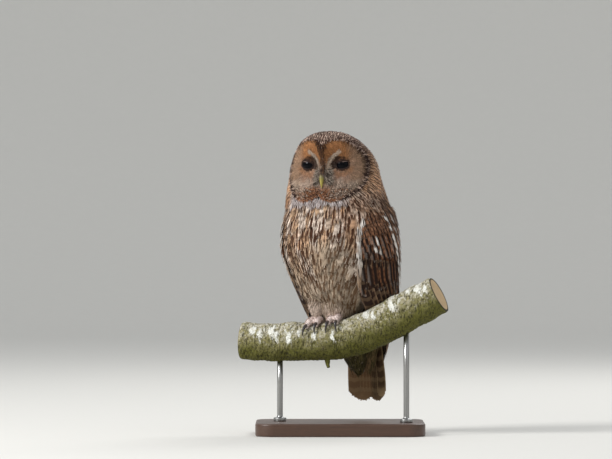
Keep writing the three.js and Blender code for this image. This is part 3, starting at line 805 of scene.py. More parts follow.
def face_markings(across, up):
    """Ground and mark colours and bars of the disc: rufous above and under the eye, beige outside, paler
    below with a barred ruff at its foot, dark round the eye with painted shade above it under the brow,
    with the pale brows and the dark wedge between them, and painted shade towards the owl's left."""
    look = look_at("owl_head")
    off = np.abs(across)
    x, z = off - EYE_ACROSS, up - EYE_UP
    r = np.hypot(x, z)
    uneven, fine = (cloud(np.stack([across, up], -1), *how) for how in ((14, 3), (5, 4)))
    ground = blend(look.cheek, look.rufous,
                   ease(-2, 12, z + 3 * uneven) * (1 - 0.75 * ease(6, 24, x + 3 * fine)))
    ground = blend(ground, look.beige, 0.9 * ease(4, 18, x + 3 * uneven) * fade(20, 32, z))
    ground = blend(ground, look.rufous * 0.78, 0.6 * ease(6, 12, r) * fade(14, 20, r) * fade(-6, 2, z))
    ground = blend(ground, look.white, 0.5 * fade(-25, -17, z + 3 * uneven) * ease(10, 22, off))
    foot = fade(-37, -28, z + 3 * uneven) * (1 - 0.6 * ease(20, 30, off))
    ground = blend(ground, look.ruff, foot)
    grey = fade(8, 15, off) * ease(-27, -20, up) * fade(-4, 4, up)
    ground = blend(ground, look.bristle * 0.6, 0.85 * grey)
    # The dark round the eye is partly its own colour and, where it reaches up over the eye, painted shade
    # under the brow.
    ring = fade(7.5, 10.5, r - 4.5 * ease(1, 8, -x) * (z > -6) - 2.5 * ease(1, 7, z) - fine)
    ground = blend(ground, look.dusk, ring * 0.9)
    reach = np.maximum(face_reach(up), 1)
    rim = ease(0.86, 0.98, lobe(across, up) + 0.03 * fine)
    rim = np.maximum(rim, ease(0.78, 0.9, -across / reach + 0.03 * fine)) * ease(-22, -6, up)
    ground = blend(ground, look.dusk, 0.75 * rim)
    ground = blend(ground, look.white, 0.9 * fade(0.8, 3.0, brow(across, up) + 0.6 * fine))
    above = ease(12, 40, up)
    wedge = fade(2.2, 5.2, np.abs(across + 4 * above) - 7.5 * above + 1.8 * fine)
    ground = blend(ground, look.dusk, wedge * ease(-12, -6, up) * 0.9)
    # Painted shade: the disc darkens towards the owl's left.
    ground = ground * (1 - 0.17 * ease(4, 34, across))[:, None]
    return ground, blend(ground * 0.45, look.dusk, 0.35), 0.35 + 0.6 * fade(-32, -22, z)


def body_markings(p):
    """Ground and mark colours of the body, and how strongly it is streaked and barred, by place. The
    breast's and belly's left side and the vent carry painted shade.
    """
    head, look = look_at("owl_head"), look_at("owl_body")
    z = p[:, 2]
    way = np.arctan2(p[:, 0], -(p[:, 1] - body_value(BACK, z))) - head_twist(z)
    angle = np.degrees((way + pi) % (2 * pi) - pi)
    off = np.abs(angle)
    patchy, fine, warm = cloud(p * [1, 1, 0.5], 30, 11), cloud(p * [1, 1, 0.7], 15, 12), cloud(p, 40, 13)
    # breast and belly
    ground = blend(look.breast, look.pale, ease(-0.25, 0.35, patchy + 0.5 * fine))
    warmth = ease(-0.2, 0.6, warm + 0.6 * ease(30, 60, angle)) * ease(120, 150, z)
    ground = blend(ground, look.rufous, 0.6 * warmth)
    soft = bell(angle, 26, 25) * fade(128, 152, z + 8 * fine)
    low = fade(70, 125, z + 14 * patchy)
    ground = blend(ground, look.belly, np.maximum(low, soft))
    # Painted shade: a soft patch on the left of the breast, and the lower belly towards the owl's left, are
    # darkened.
    shaded = np.maximum(soft * ease(-0.5, 0.5, patchy), 0.7 * low * ease(0, 30, angle))
    ground = ground * (1 - 0.3 * shaded)[:, None]
    mark = blend(look.streak, look.belly_mark, np.maximum(0.7 * low, 0.8 * soft))
    streak = 0.31 + 0.1 * fine - 0.12 * soft
    bars = 0.22 - 0.06 * soft
    bib = ease(183, 188, z + 2 * fine) * fade(203, 209, z) * fade(34, 50, off)
    ground = blend(ground, look.bib, bib)
    streak = streak * (1 - 0.45 * bib)
    # Painted shade: the vent, under the tail and perch, takes the darkened vent colour.
    vent = fade(20, 48, z)
    ground, mark = blend(ground, look.vent, vent), blend(mark, look.vent * 0.3, vent)
    # back
    back = ease(72, 96, off) * fade(196, 214, z) * ease(30, 60, z)
    ground, mark = blend(ground, look.mantle, back), blend(mark, look.mantle_mark, back)
    bars = bars + 0.08 * back
    # head
    top = ease(196, 212, z) * (1 - fade(40, 62, off) * fade(206, 214, z))
    crown = ease(258, 276, z + 4 * fine)
    nape = blend(head.crown * [1.05, 0.86, 0.62], look.pale, 0.5 * ease(0, 0.9, patchy + fine))
    nape = blend(nape, head.crown * 0.95, crown)
    ground, mark = blend(ground, nape, top), blend(mark, head.crown_mark, top)
    streak = streak * (1 - top) + top * (0.27 + 0.17 * crown)
    return ground, mark, streak, bars * (1 - top) + top * 0.42


def wing_markings(angle, up, rng):
    """Ground and mark colours of the wing's coverts over (degrees, height): brown at the shoulder, more
    rufous below, darker low on the wing as painted shade, and dark behind the wing's front edge."""
    look = look_at("owl_wing")
    uneven = cloud(np.stack([angle, up * 0.7], -1), 26, 21)
    front = angle - wing_value(FIRST, up)
    ground = blend(look.shoulder, look.covert, fade(128, 164, up + 12 * uneven))
    bright = 1 + 0.22 * uneven + 0.12 * rng.normal(size=len(up))
    # Painted shade: the coverts darken towards the wing's lower part.
    bright = bright * (1 - 0.5 * fade(100, 150, up + 8 * uneven))
    shaded = ease(3, 6, front) * fade(11, 17, front) * fade(120, 142, up)
    return blend(ground * bright[:, None], look.dark, 0.75 * shaded), look.dark


# ------------------------------------------------------------------ skin

def blade(side, rows=70, columns=40):
    """The wing's closed blade inside its solid: out along its outer side, and back along its inner
    side, both drawn in by a share of its thickness."""
    up, back, wide, deep, first, last, thick = section(WING, np.linspace(0.02, 0.985, rows)[:, None])
    turn = np.linspace(0, 1, columns, endpoint=False)
    outside = turn < 0.5
    share = np.where(outside, turn * 2, 2 - turn * 2)
    angle = np.radians(first + 3 + (last - first - 6) * share)
    inward = np.where(outside, 0.3, 0.9) * np.sin(pi * share) * thick + 0.35 * thick
    return xyz(side * (wide - inward) * np.sin(angle), back - (deep - inward) * np.cos(angle), up)


def rings_about(path, across, rise, radius):
    """Rings of points round a path (rows, 3), in the plane of two directions for each of its points."""
    turn = around(len(radius.T))[:, None]
    return path[:, None] + radius[..., None] * (across[:, None] * np.cos(turn) + rise[:, None] * np.sin(turn))


def foot_x(side):
    """Where along the perch a foot's middle stands, in the scene."""
    return FOOTING[0] + side * FEET_APART * cos(PERCH_YAW) / 2


def toe_spot(side, toe, angle, out):
    """A place over a toe's line on the perch, in the owl's frame."""
    start, splay, _ = TOES[toe]
    x = foot_x(side) + side * (start + splay * np.abs(angle)) - 6 * angle
    return to_owl(on_perch(x, angle, out) * MM)


def toe_tube(side, toe, angle, height, radius, columns):
    """Rings round a toe or talon, whose line runs over the perch at a height for each angle."""
    path = toe_spot(side, toe, angle, height)
    rise = unit(toe_spot(side, toe, angle, 9.0) - toe_spot(side, toe, angle, 0.0))
    forth = unit(np.gradient(path, axis=0))
    across = unit(np.cross(rise, forth))
    return rings_about(path, across, np.cross(forth, across), np.repeat(radius[:, None], columns, 1))


def toe_rings(side, toe, shrink=0.8, rows=14, columns=16):
    """A toe's tube, round the perch from the foot's middle to the talon's root."""
    t = np.linspace(0, 1, rows)
    r = (6.2 - 1.6 * t) * np.sqrt(1 - 0.75 * t**8)
    knuckle = 1 + 0.1 * np.cos(t * 4 * pi)
    return toe_tube(side, toe, t * TOES[toe][2], r * 0.86, (r - shrink) * knuckle, columns)


def leg_rings(side, shrink=2.0, rows=16, columns=24):
    """The feathered shank: widest in the middle, narrow at the ankle."""
    foot = to_owl(on_perch(np.array(foot_x(side)), np.array(0.0)) * MM)
    t = np.linspace(0.02, 0.98, rows)[:, None]
    r = (14 + 2.4 * np.sin(pi * t)) * (1 - t**1.5) + 9.5 * t**1.5
    r = (r - shrink) * np.sqrt(np.sin(pi * (0.06 + 0.88 * t)))
    turn = around(columns)
    z = 70 + (foot[2] + 6.2 * 1.2 - 70) * t
    return xyz(foot[0] + r * np.cos(turn), foot[1] + 5 * (1 - t) + r * np.sin(turn), z)


def tail_slab(rows=40, columns=32):
    """The flesh and quills inside the tail, short of its tips."""
    t = np.linspace(0, 0.62, rows)[:, None]
    up, back, half, thick = section(TAIL, t)
    c, s = np.cos(around(columns)), np.sin(around(columns))
    return xyz(TAIL_SHIFT * t + c * (half - 8), back - TAIL_ARCH * c**2 + s * thick * 0.2, up)


def skin_grids():
    """The closed shells that the skin is joined from. The body's lies under the coat's surface by a
    depth that is least on the face and crown."""
    rho = np.linspace(1.5, FROM_CROWN[-1] - 4, 190)[:, None]
    here, x, y = edges(on_body, polar(rho, around(150, -pi)))
    up = here[..., 2]
    depth = 2.0 + 4.5 * fade(190, 225, up) * ease(-30, 40, up)
    grids = [here - unit(np.cross(x, y)) * depth[..., None]]
    for _, side in SIDES:
        grids += [blade(side), leg_rings(side), *(toe_rings(side, toe) for toe in TOES)]
    return [to_scene(grid) for grid in (*grids, tail_slab())]


def skin_markings(p):
    """The coat's colours at places on the skin, mixed to one: body, face, wings, tail, legs and feet."""
    wing_look, foot_look = look_at("owl_wing"), look_at("owl_foot")
    ground, mark, streak, _ = body_markings(p)
    colour = blend(ground, mark, 0.25 + 0.6 * streak)
    across, backward, up = to_face(p).T
    disc = fade(0.97, 1.03, lobe(across, up)) * (backward < -6)
    colour = blend(colour, face_markings(across, up)[0], disc)
    x, y, z = p.T
    angle = wing_angle(p, z)
    middle = np.stack([0 * z, through(BODY, BACK, section_at(z))], -1)
    body = on_body(polar(crown_distance(z), np.radians(angle)))[:, :2]
    outside = np.linalg.norm(p[:, :2] - middle, axis=-1) > np.linalg.norm(body - middle, axis=-1) + 1
    rump = (y > 68) & (np.abs(x) < 34) & (z < 60)
    for where, what in (
            (outside & (z < 190) & (z > -60) & (angle > 40) & ~rump,
             blend(*wing_markings(angle, z, np.random.default_rng(5)), 0.5)),
            ((z < 66) & (y > 68), blend(wing_look.tail_dark, wing_look.tail_buff, 0.3)),
            ((z < 66) & (y < 34) & (np.abs(x) < 50), foot_look.leg),
            ((z < 42) & (y < 34), foot_look.toe)):
        colour = np.where(where[:, None], what, colour)
    return colour


class OWL_OT_skin(Operator):
    """Makes one skin from shells inside the body, wings, tail, legs and toes, joined by a voxel remesh"""
    bl_idname = "owl.skin"
    bl_label = "Skin"

    def execute(self, context):
        obj = shells("skin", *skin_grids())
        remesh = obj.modifiers.new("join", "REMESH")
        remesh.mode, remesh.voxel_size, remesh.use_smooth_shade = "VOXEL", 0.0018, True
        bpy.context.view_layer.update()
        whole = bpy.data.meshes.new_from_object(obj.evaluated_get(context.evaluated_depsgraph_get()))
        obj.modifiers.clear()
        obj.data = whole
        smooth(whole)
        add_attribute(obj, "ground", skin_markings(to_owl(points_of(obj))))
        paint = Paint("skin", 0.8)
        rough = paint.noise(paint.place(), 900.0)
        colour = paint.scale(paint.attribute("ground"), 0.55 + 0.4 * rough)
        settle(obj, paint.finish(colour, None, rough, 0.0006, 0.6), "plumage_breast", "head", "neck", "trunk",
               "wing_left", "wing_right", "tail", "leg_left", "leg_right", "foot_left", "foot_right")
        return {"FINISHED"}


# ------------------------------------------------------------------ face

def from_eye(q, side):
    """How far places on the face lie from an eye's middle."""
    return np.hypot(q[..., 0] - side * EYE_ACROSS, q[..., 1] - EYE_UP)


def disc_routes(side, rng, feather):
    """Feathers of one half of the disc: they start on rings round the eye and lie straight away from it."""
    found = []
    for r in np.arange(8.6, 62, 1.9):
        count = int(2 * pi * r / (1.15 + 0.012 * r))
        a = (np.arange(count) + rng.random(count)) / count * 2 * pi
        here = r + rng.uniform(-0.8, 0.8, count)
        found.append(np.stack([side * EYE_ACROSS + here * np.cos(a), EYE_UP + here * np.sin(a)], -1))
    q = np.concatenate(found)
    across, up = q.T
    q = q[(np.abs(across) < face_reach(up) * 0.96) & (across * side > -0.5) & (lobe(across, up) < 0.99)]
    length = feather * (0.45 + 0.55 * ease(10, 24, from_eye(q, side))) * rng.uniform(0.8, 1.15, len(q))
    return walk(on_face, q, lambda p: p - eye_centre(side), length, 3)


def outline_places(ratio, rng, spacing):
    """Places on a curve round both lobes of the disc, at so many times its size."""
    a = np.linspace(-pi, pi, 1441)
    found = []
    for side in (-1, 1):
        q = np.stack([side * LOBE["across"] + ratio * LOBE["wide"] * np.sin(a),
                      LOBE["up"] + ratio * LOBE["high"] * np.cos(a)], -1)
        q = q[(q[:, 0] * side >= 0)]
        gap = np.concatenate([[0], np.cumsum(np.minimum(np.linalg.norm(np.diff(q, axis=0), axis=-1), 2))])
        at = np.arange(0, gap[-1], spacing) + rng.uniform(-0.3, 0.3) * spacing
        found.append(np.stack([np.interp(at, gap, q[:, k]) for k in (0, 1)], -1))
    return np.concatenate(found)


def brow_places(n, rng):
    """Uneven places along both brows."""
    line = brow_line(rng.random((n, 1))) + rng.normal(size=(n, 2)) * 1.1
    return line * np.stack([np.where(rng.random(n) < 0.5, 1, -1), np.ones(n)], -1)


class OWL_OT_face(Operator):
    """Makes the facial disc's small feathers, its dark rim, the ridge between the eyes and the bristles"""
    bl_idname = "owl.face"
    bl_label = "Face"

    def execute(self, context):
        look = look_at("owl_head")
        self.disc(look)
        self.rim(look)
        self.bristles(look)
        return {"FINISHED"}

    def disc(self, look):
        """The disc's feathers, and the shorter ones on the lids, which lie outwards from the opening."""
        coat = Coat(31)
        rng = coat.rng
        small = dict(strips=2, fray=0.3, neck=0.7, keep_off=False)
        for _, side in SIDES:
            route = disc_routes(side, rng, look.disc_feather)
            up = route[:, 1, 1]
            n = len(up)
            ground, mark, bars = face_markings(route[:, 1, 0], up)
            bright = rng.uniform(0.72, 1.2, n) * np.where((up < -27) & (rng.random(n) < 0.4), 0.6, 1)
            coat.add(on_face, route, rng.uniform(0.7, 1.1, n),
                     look_of(ground * bright[:, None], mark, 0.15, bars, 0.3), lift=rng.uniform(0.3, 0.9, n),
                     depth=0.6 + ease(12, 20, from_eye(route[:, 0], side)), **small)
            chart = on_lid(side)
            n = 520
            q = np.stack([rng.uniform(2.2, 10, n), rng.uniform(0, 2 * pi, n)], -1)
            reach = np.minimum(rng.uniform(3, 4.5, n), LID_REACH - 0.1 - q[:, 0])
            route = q[:, None] + np.array([1.0, 0]) * (np.linspace(0, 1, 4) * reach[:, None])[..., None]
            local = to_face(chart(route[:, 2]))
            ground = face_markings(local[:, 0], local[:, 2])[0]
            ground = blend(ground, look.dusk, 0.9 * fade(2.6, 5, q[:, 0]))
            coat.add(chart, route, 0.65, look_of(ground, ground * 0.5, 0.1, 0.1, 0.2), depth=0.3, lift=0.4,
                     above=0.35, **small)
        coat.make("facial_disc", "plumage_head", "disc_feathers", 3.2, look.white)

    def rim(self, look):
        """Three rows of dark feathers round the disc, and the ruff: larger barred ones along its foot."""
        coat = Coat(32)
        rng = coat.rng
        small = dict(depth=1.5, keep_off=False)
        for ratio, spacing, length, high in ((0.975, 0.9, 7, 0.8), (1.0, 0.8, 8, 1.6), (1.03, 0.8, 9, 1.0)):
            q = outline_places(ratio, rng, spacing)
            q = q[np.abs(q[:, 0]) < face_reach(q[:, 1]) * 0.975]
            n = len(q)
            out = unit(q - [0, LOBE["up"]])
            way = face_way(out[:, 0], -0.45, out[:, 1])
            route = walk(on_face, q, way, length * rng.uniform(0.75, 1.1, n), 3)
            chin = fade(22, 36, np.abs(q[:, 0])) * (q[:, 1] < 0)
            top = ease(6, 26, q[:, 1])
            ground = blend(look.dusk, look.ruff, 0.95 * chin)
            ground = blend(ground, look.crown_mark, 0.7 * top)
            ground = blend(ground, look.crown, (rng.random(n) < 0.22 + 0.2 * top) * 0.7)
            ground = ground * rng.uniform(0.7, 1.3, (n, 1))
            pale = 0.6 * (rng.random(n) < 0.15 + 0.5 * chin)
            coat.add(on_face, route, rng.uniform(0.8, 1.2, n),
                     look_of(ground, look.dusk, 0.2, 0.6 * chin + 0.2, 0.2, 0, pale),
                     strips=2, lift=high, fray=0.3, neck=0.7, **small)
        n = 420
        q = np.stack([rng.normal(size=n) * 15, rng.uniform(-43, -29, n)], -1)
        q = q[lobe(*q.T) < 0.99]
        n = len(q)
        pale = (rng.random(n) < 0.25 + 0.55 * ease(8, 20, np.abs(q[:, 0] + 3))) * rng.uniform(0.5, 1.0, n)
        ground = blend(look.ruff, look.white, pale) * rng.uniform(0.75, 1.15, (n, 1))
        route = walk(on_face, q, face_way(q[:, 0] / 30, -0.3, -1), rng.uniform(6, 9, n), 3)
        coat.add(on_face, route, rng.uniform(1.2, 1.9, n), look_of(ground, look.dusk, 0.12, 1.0, 0.5),
                 strips=3, lift=rng.uniform(0.6, 2.0, n), fray=0.25, neck=0.6, **small)
        coat.make("disc_rim", "plumage_head", "rim_feathers", 3.4, look.white)

    def bristles(self, look):
        """Short feathers down the ridge from the crown to the bill, longer pale ones that fan out of the
        brows, and bristles from beside the bill, outwards and down."""
        coat = Coat(33)
        rng = coat.rng
        n = 620
        q = np.stack([rng.uniform(-6, 6, n), rng.uniform(-10, 36, n)], -1)
        route = walk(on_face, q, DOWN, rng.uniform(4, 7, n), 3)
        ground, mark, _ = face_markings(*q.T)
        ground = blend(ground, look.rufous * 0.6, (rng.random(n) < 0.35) * 0.6)
        coat.add(on_face, route, rng.uniform(0.6, 1.0, n), look_of(ground, mark, 0.3, 0.1, 0.2),
                 strips=2, depth=1.0, lift=1.4, fray=0.35, keep_off=False)
        n = 230
        fan = lambda p: unit(p - FACE_CENTRE) * [1.4, 0, 1] + [0, 0, 0.35]
        route = walk(on_face, brow_places(n, rng), fan, rng.uniform(3.5, 6.5, n), 3)
        ground = blend(look.white, look.beige, 0.8 * rng.random(n))
        coat.add(on_face, route, 0.45, look_of(ground, look.bristle, 0.1, 0, 0.2),
                 strips=2, depth=0.5, lift=1.6, fray=0.3, keep_off=False)
        n = 620
        side = np.where(rng.random(n) < 0.5, 1, -1)
        q = np.stack([side * rng.uniform(2.4, 9.5, n), rng.uniform(-25, -5, n)], -1)
        way = face_way(side * rng.uniform(0.3, 1.5, n), 0.2, rng.uniform(-1.3, 0.2, n))
        route = walk(on_face, q, way, rng.uniform(6, 12, n), 4)
        pale = rng.random(n)
        ground = blend(look.bristle, look.white, 0.6 * (pale > 0.7))
        ground = blend(ground, look.dusk, 0.85 * (pale < 0.6))
        coat.add(on_face, route, 0.3, look_of(ground, ground * 0.6, 0.0, 0, 0.4),
                 strips=1, depth=0.3, lift=rng.uniform(1, 3.2, n), fray=0.2, above=0.4, keep_off=False)
        coat.make("bristles", "plumage_head", "bristle_feathers", 3.0, look.white)


# ------------------------------------------------------------------ head and body feathers

def under_wing(q, margin):
    """Whether body places lie well inside the edges of a folded wing."""
    p = on_body(q)
    up = np.clip(p[:, 2], -56, 191)
    angle = wing_angle(p, up)
    inside = (angle > wing_value(FIRST, up) + margin) & (angle < wing_value(LAST, up) - margin)
    return inside & (p[:, 2] < 172) & (p[:, 2] > -50)


def in_perch(p, margin):
    """Whether owl-frame points lie inside the perch or nearer to it than a margin."""
    return np.linalg.norm(off_perch(p, margin) - p, axis=-1) > 1e-6


def away_from_face(p):
    """The lie of the head's feathers: away from the face over the crown and sides, then down the nape."""
    local = to_face(p)
    way = unit(local - [0, -60, -14])
    nape = ease(-20, 45, local[:, 1])[:, None]
    down = (1.1 * nape + 0.35) * [0, 0.15, -1.0] * fade(36, 46, local[:, 2:])
    return turned(way * (1 - nape) + down, HEAD_TURN)


def down_the_breast(p):
    """The lie of the body's feathers: down, sweeping in to the middle of the belly."""
    return xyz(-1.1 * (p[:, 0] - 14) / 80 * fade(90, 180, p[:, 2]) * (p[:, 1] < 30), 0, -1)


def on_cloak(q):
    """The body's surface raised over the tops of the folded wings, so that the neck's and mantle's
    feathers pass smoothly onto them: the wing's reach beyond the body, faded in at its edges."""
    p = on_body(q)
    up = p[..., 2]
    level = np.clip(up, -56, 191)
    angle = wing_angle(p, level)
    x, y = p[..., 0], p[..., 1] - wing_value(BACK, level)
    high = np.clip(up, 60, 189)
    first, last = wing_value(FIRST, high), wing_value(LAST, high)
    reach = np.hypot(wing_value(SIDE, high) * np.sin(np.radians(angle)),
                     wing_value(DEEP, high) * np.cos(np.radians(angle)))
    room = ease(first - 8, first + 10, angle) * fade(last - 12, last + 8, angle) * fade(184, 206, up)
    start, full = (np.interp(angle, (95, 125), heights) for heights in ((160, 96), (178, 130)))
    gain = np.maximum(reach - np.hypot(x, y), 0) * room * ease(start, full, up)
    return p + unit(xyz(x, y, 0)) * gain[..., None]


class OWL_OT_head(Operator):
    """Makes the feathers of the crown, the sides of the head and the nape"""
    bl_idname = "owl.head"
    bl_label = "Head feathers"

    def execute(self, context):
        look = look_at("owl_head")
        coat = Coat(41)
        rng = coat.rng
        q = np.concatenate([rings(291.5, 262, 3.4, 3.2, rng), rings(262, 196, 4.2, 3.8, rng),
                            rng.normal(size=(60, 2)) * 3])
        across, up, forward = local_place(q)
        clear = (lobe(across, up) >= 1.02) | (forward <= 0.12)
        q, across, up, forward = q[clear], across[clear], up[clear], forward[clear]
        n, near = len(q), lobe(across, up)
        length = look.crown_feather * (0.65 + 0.75 * fade(205, 280, on_body(q)[:, 2]))
        length = length * rng.uniform(0.85, 1.15, n) * (1 - 0.3 * (near < 1.2) * (forward > 0))
        route = walk(on_body, q, away_from_face, length, 4)
        ground, mark, streak, bars = body_markings(on_body(route[:, 2]))
        rim = fade(1.06, 1.2, near) * (forward > -0.1) * ease(-30, 0, up)
        parting = fade(4, 12, np.abs(across + 7) + rng.uniform(-3, 3, n)) * ease(34, 42, up) * (forward > 0)
        ground = blend(ground, look.dusk, np.maximum(0.75 * rim, 0.7 * parting))
        ground = ground * rng.uniform(0.85, 1.15, (n, 1))
        white = (rng.random(n) < 0.16 + 0.26 * (up > 26)) * rng.uniform(0.4, 1, n) * (1 - rim)
        coat.add(on_body, route, np.maximum(0.24 * length**0.95, 2.5),
                 look_of(ground, mark, streak, bars, 0.45, 0.6 * white, 0.45 * white),
                 strips=4, depth=2.6, lift=0.8, fray=0.2, keep_off=False)
        coat.make("head_feathers", "plumage_head", "head_plumage", 4.2, look.white)
        return {"FINISHED"}


def skirt(q):
    """A surface that hangs from the belly over the legs: the body's section at 66 mm, drawn in on the
    way down. q is (angle in degrees, height)."""
    a, down = np.radians(q[..., 0]), 66 - q[..., 1]
    side, front, back = 50 - 0.75 * down, 47 - 0.5 * down, 24 - 0.02 * down
    return np.stack([side * np.sin(a), back - front * np.cos(a), q[..., 1]], -1)


def under_tail(q):
    """The surface under the tail's root: half rings of (angle in degrees, height), wide at 20 mm and
    drawn together by -60 mm."""
    a, t = np.radians(q[..., 0]), np.clip((20 - q[..., 1]) / 80, 0, 1)
    side, front, back = 36 * (1 - t) ** 0.6 + 6, 26 * (1 - t) + 4, 66 + 10 * t
    return np.stack([side * np.sin(a), back - front * np.cos(a), q[..., 1]], -1)


class OWL_OT_body(Operator):
    """Makes the feathers of the breast, belly, flanks, back and vent"""
    bl_idname = "owl.body"
    bl_label = "Body feathers"

    def execute(self, context):
        look = look_at("owl_body")
        for name, front, seed in (("breast", True, 51), ("back", False, 52)):
            coat = Coat(seed)
            rng = coat.rng
            self.cover(coat, rng, look, front)
            self.hang(coat, rng, look, front)
            coat.make(name + "_feathers", "plumage_breast", name + "_plumage", 7.0, look.pale)
        return {"FINISHED"}

    def cover(self, coat, rng, look, front):
        """Rings of feathers down the whole body, of which each piece keeps its own half."""
        q = np.concatenate([rings(*how, rng) for how in
                            ((214, 165, 7.0, 6.0), (165, 40, 8.0, 6.6), (40, -44, 7, 5.4))])
        q = q[~under_wing(q, 12) & ~in_perch(on_body(q), 1.0)]
        breast = (np.cos(split_polar(q)[1]) > 0.05) & (on_body(q)[:, 2] > 40)
        q = q[breast if front else ~breast]
        across, up, forward = local_place(q)
        q = q[~((lobe(across, up) < 1.0) & (forward > 0.3) & (up > -36))]
        n, z = len(q), on_body(q)[:, 2]
        full = look.feather * (0.62 + 0.38 * fade(150, 208, z)) * rng.uniform(0.8, 1.15, n)
        full = full * (0.75 + 0.25 * ease(30, 70, z))
        route = walk(on_cloak, q, down_the_breast, full, 5)
        ground, mark, streak, bars = body_markings(on_body(route[:, 3]))
        ground = ground * rng.uniform(0.7, 1.2, (n, 1))
        pale = 0.6 * rng.random(n)
        width = 0.22 * full * rng.uniform(0.85, 1.15, n)
        streak = streak * rng.uniform(0.2, 1.8, n) * (rng.random(n) > 0.15)
        bars = bars * rng.uniform(0, 2.2, n)
        coat.add(on_cloak, route, width, look_of(ground, mark, streak, bars, 0.25, 0, pale), strips=8,
                 depth=5.0, lift=rng.uniform(0.2, 2.2, n), fray=0.2, roundness=0.45)

    def hang(self, coat, rng, look, front):
        """In front the loose feathers over the legs, which are pale before them; behind, those under
        the tail."""
        if front:
            n = 420
            q = np.stack([rng.uniform(-92, 92, n), rng.uniform(42, 66, n)], -1)
            route = walk(skirt, q, DOWN, rng.uniform(16, 25, n), 5)
            angle, up = q.T
            here = on_body(polar(crown_distance(up - 4), np.radians(angle)))
            ground, mark, streak, bars = body_markings(here)
            shown = fade(50, 66, up + rng.uniform(-6, 6, n)) * bell(angle, 18, 34, 4)
            ground = blend(ground, look_at("owl_foot").leg * rng.uniform(0.75, 1.1, (n, 1)), 0.95 * shown)
            coat.add(skirt, route, rng.uniform(3.0, 4.6, n),
                     look_of(ground, mark, 0.6 * streak, 0.5 * bars, 0.35, 0, 0.2),
                     strips=7, lift=0.6, fray=0.3, roundness=0.4)
        else:
            n = 150
            q = np.stack([rng.uniform(-88, 88, n), rng.uniform(-28, 16, n)], -1)
            # Painted shade: the feathers under the tail take the darkened vent colour.
            ground = blend(look.vent, look.mantle, 0.5 * rng.random(n))
            route = walk(under_tail, q, DOWN, rng.uniform(22, 32, n), 5)
            coat.add(under_tail, route, rng.uniform(3.5, 5.0, n),
                     look_of(ground, look.vent * 0.4, 0.2, 0.4, 0.3),
                     strips=7, lift=rng.uniform(0, 1.5, n), fray=0.25, roundness=0.4)


# ------------------------------------------------------------------ wings and tail

# Where the flight feathers' tips stand along the folded wing's lower edge, as (degrees, height).
WING_RIM = np.array([(47, 40), (60, 27), (76, 18), (98, 5), (112, -8), (124, -22), (136, -38),
                     (145, -48), (152, -55), (160, -42), (165, -20), (167, 4), (168, 26)])
# The coverts' rows from the lowest: first row's height and last's, step, spacing, length, half width, height
# over the wing, and width of the streak.
COVERTS = ((126, 100, 12, 10.5, 48, 7.2, -0.4, 0.36), (157, 130, 9, 9.0, 30, 6.4, 0.2, 0.34),
           (187, 160, 6.0, 6.2, 20, 4.8, 0.6, 0.2))
# The shoulder feathers' lines: degrees behind the first line, count, and size of the white spot.
SHOULDER = ((0, 8, 1.0), (11, 9, 0.35), (21, 9, 0.15), (31, 8, 0.1))


def flight_routes(count, rows=12):
    """Spines of the flight feathers over the wing's chart, evenly along its lower edge: straight from
    their roots under the coverts to their tips, with a slight bend."""
    share = (np.arange(count) + 0.5) / count
    gap = along(WING_RIM * [DEGREE, 1])
    tip = np.stack([np.interp(share * gap[-1], gap, WING_RIM[:, k]) for k in (0, 1)], -1)
    root = np.stack([50 + 112 * share**0.9, 116 - 26 * share], -1)
    t = np.linspace(0, 1, rows + 1)[None, :, None]
    route = root[:, None] + (tip - root)[:, None] * t
    route[..., 0] -= 5 * np.sin(pi * t[..., 0])
    return route * [DEGREE, 1], share


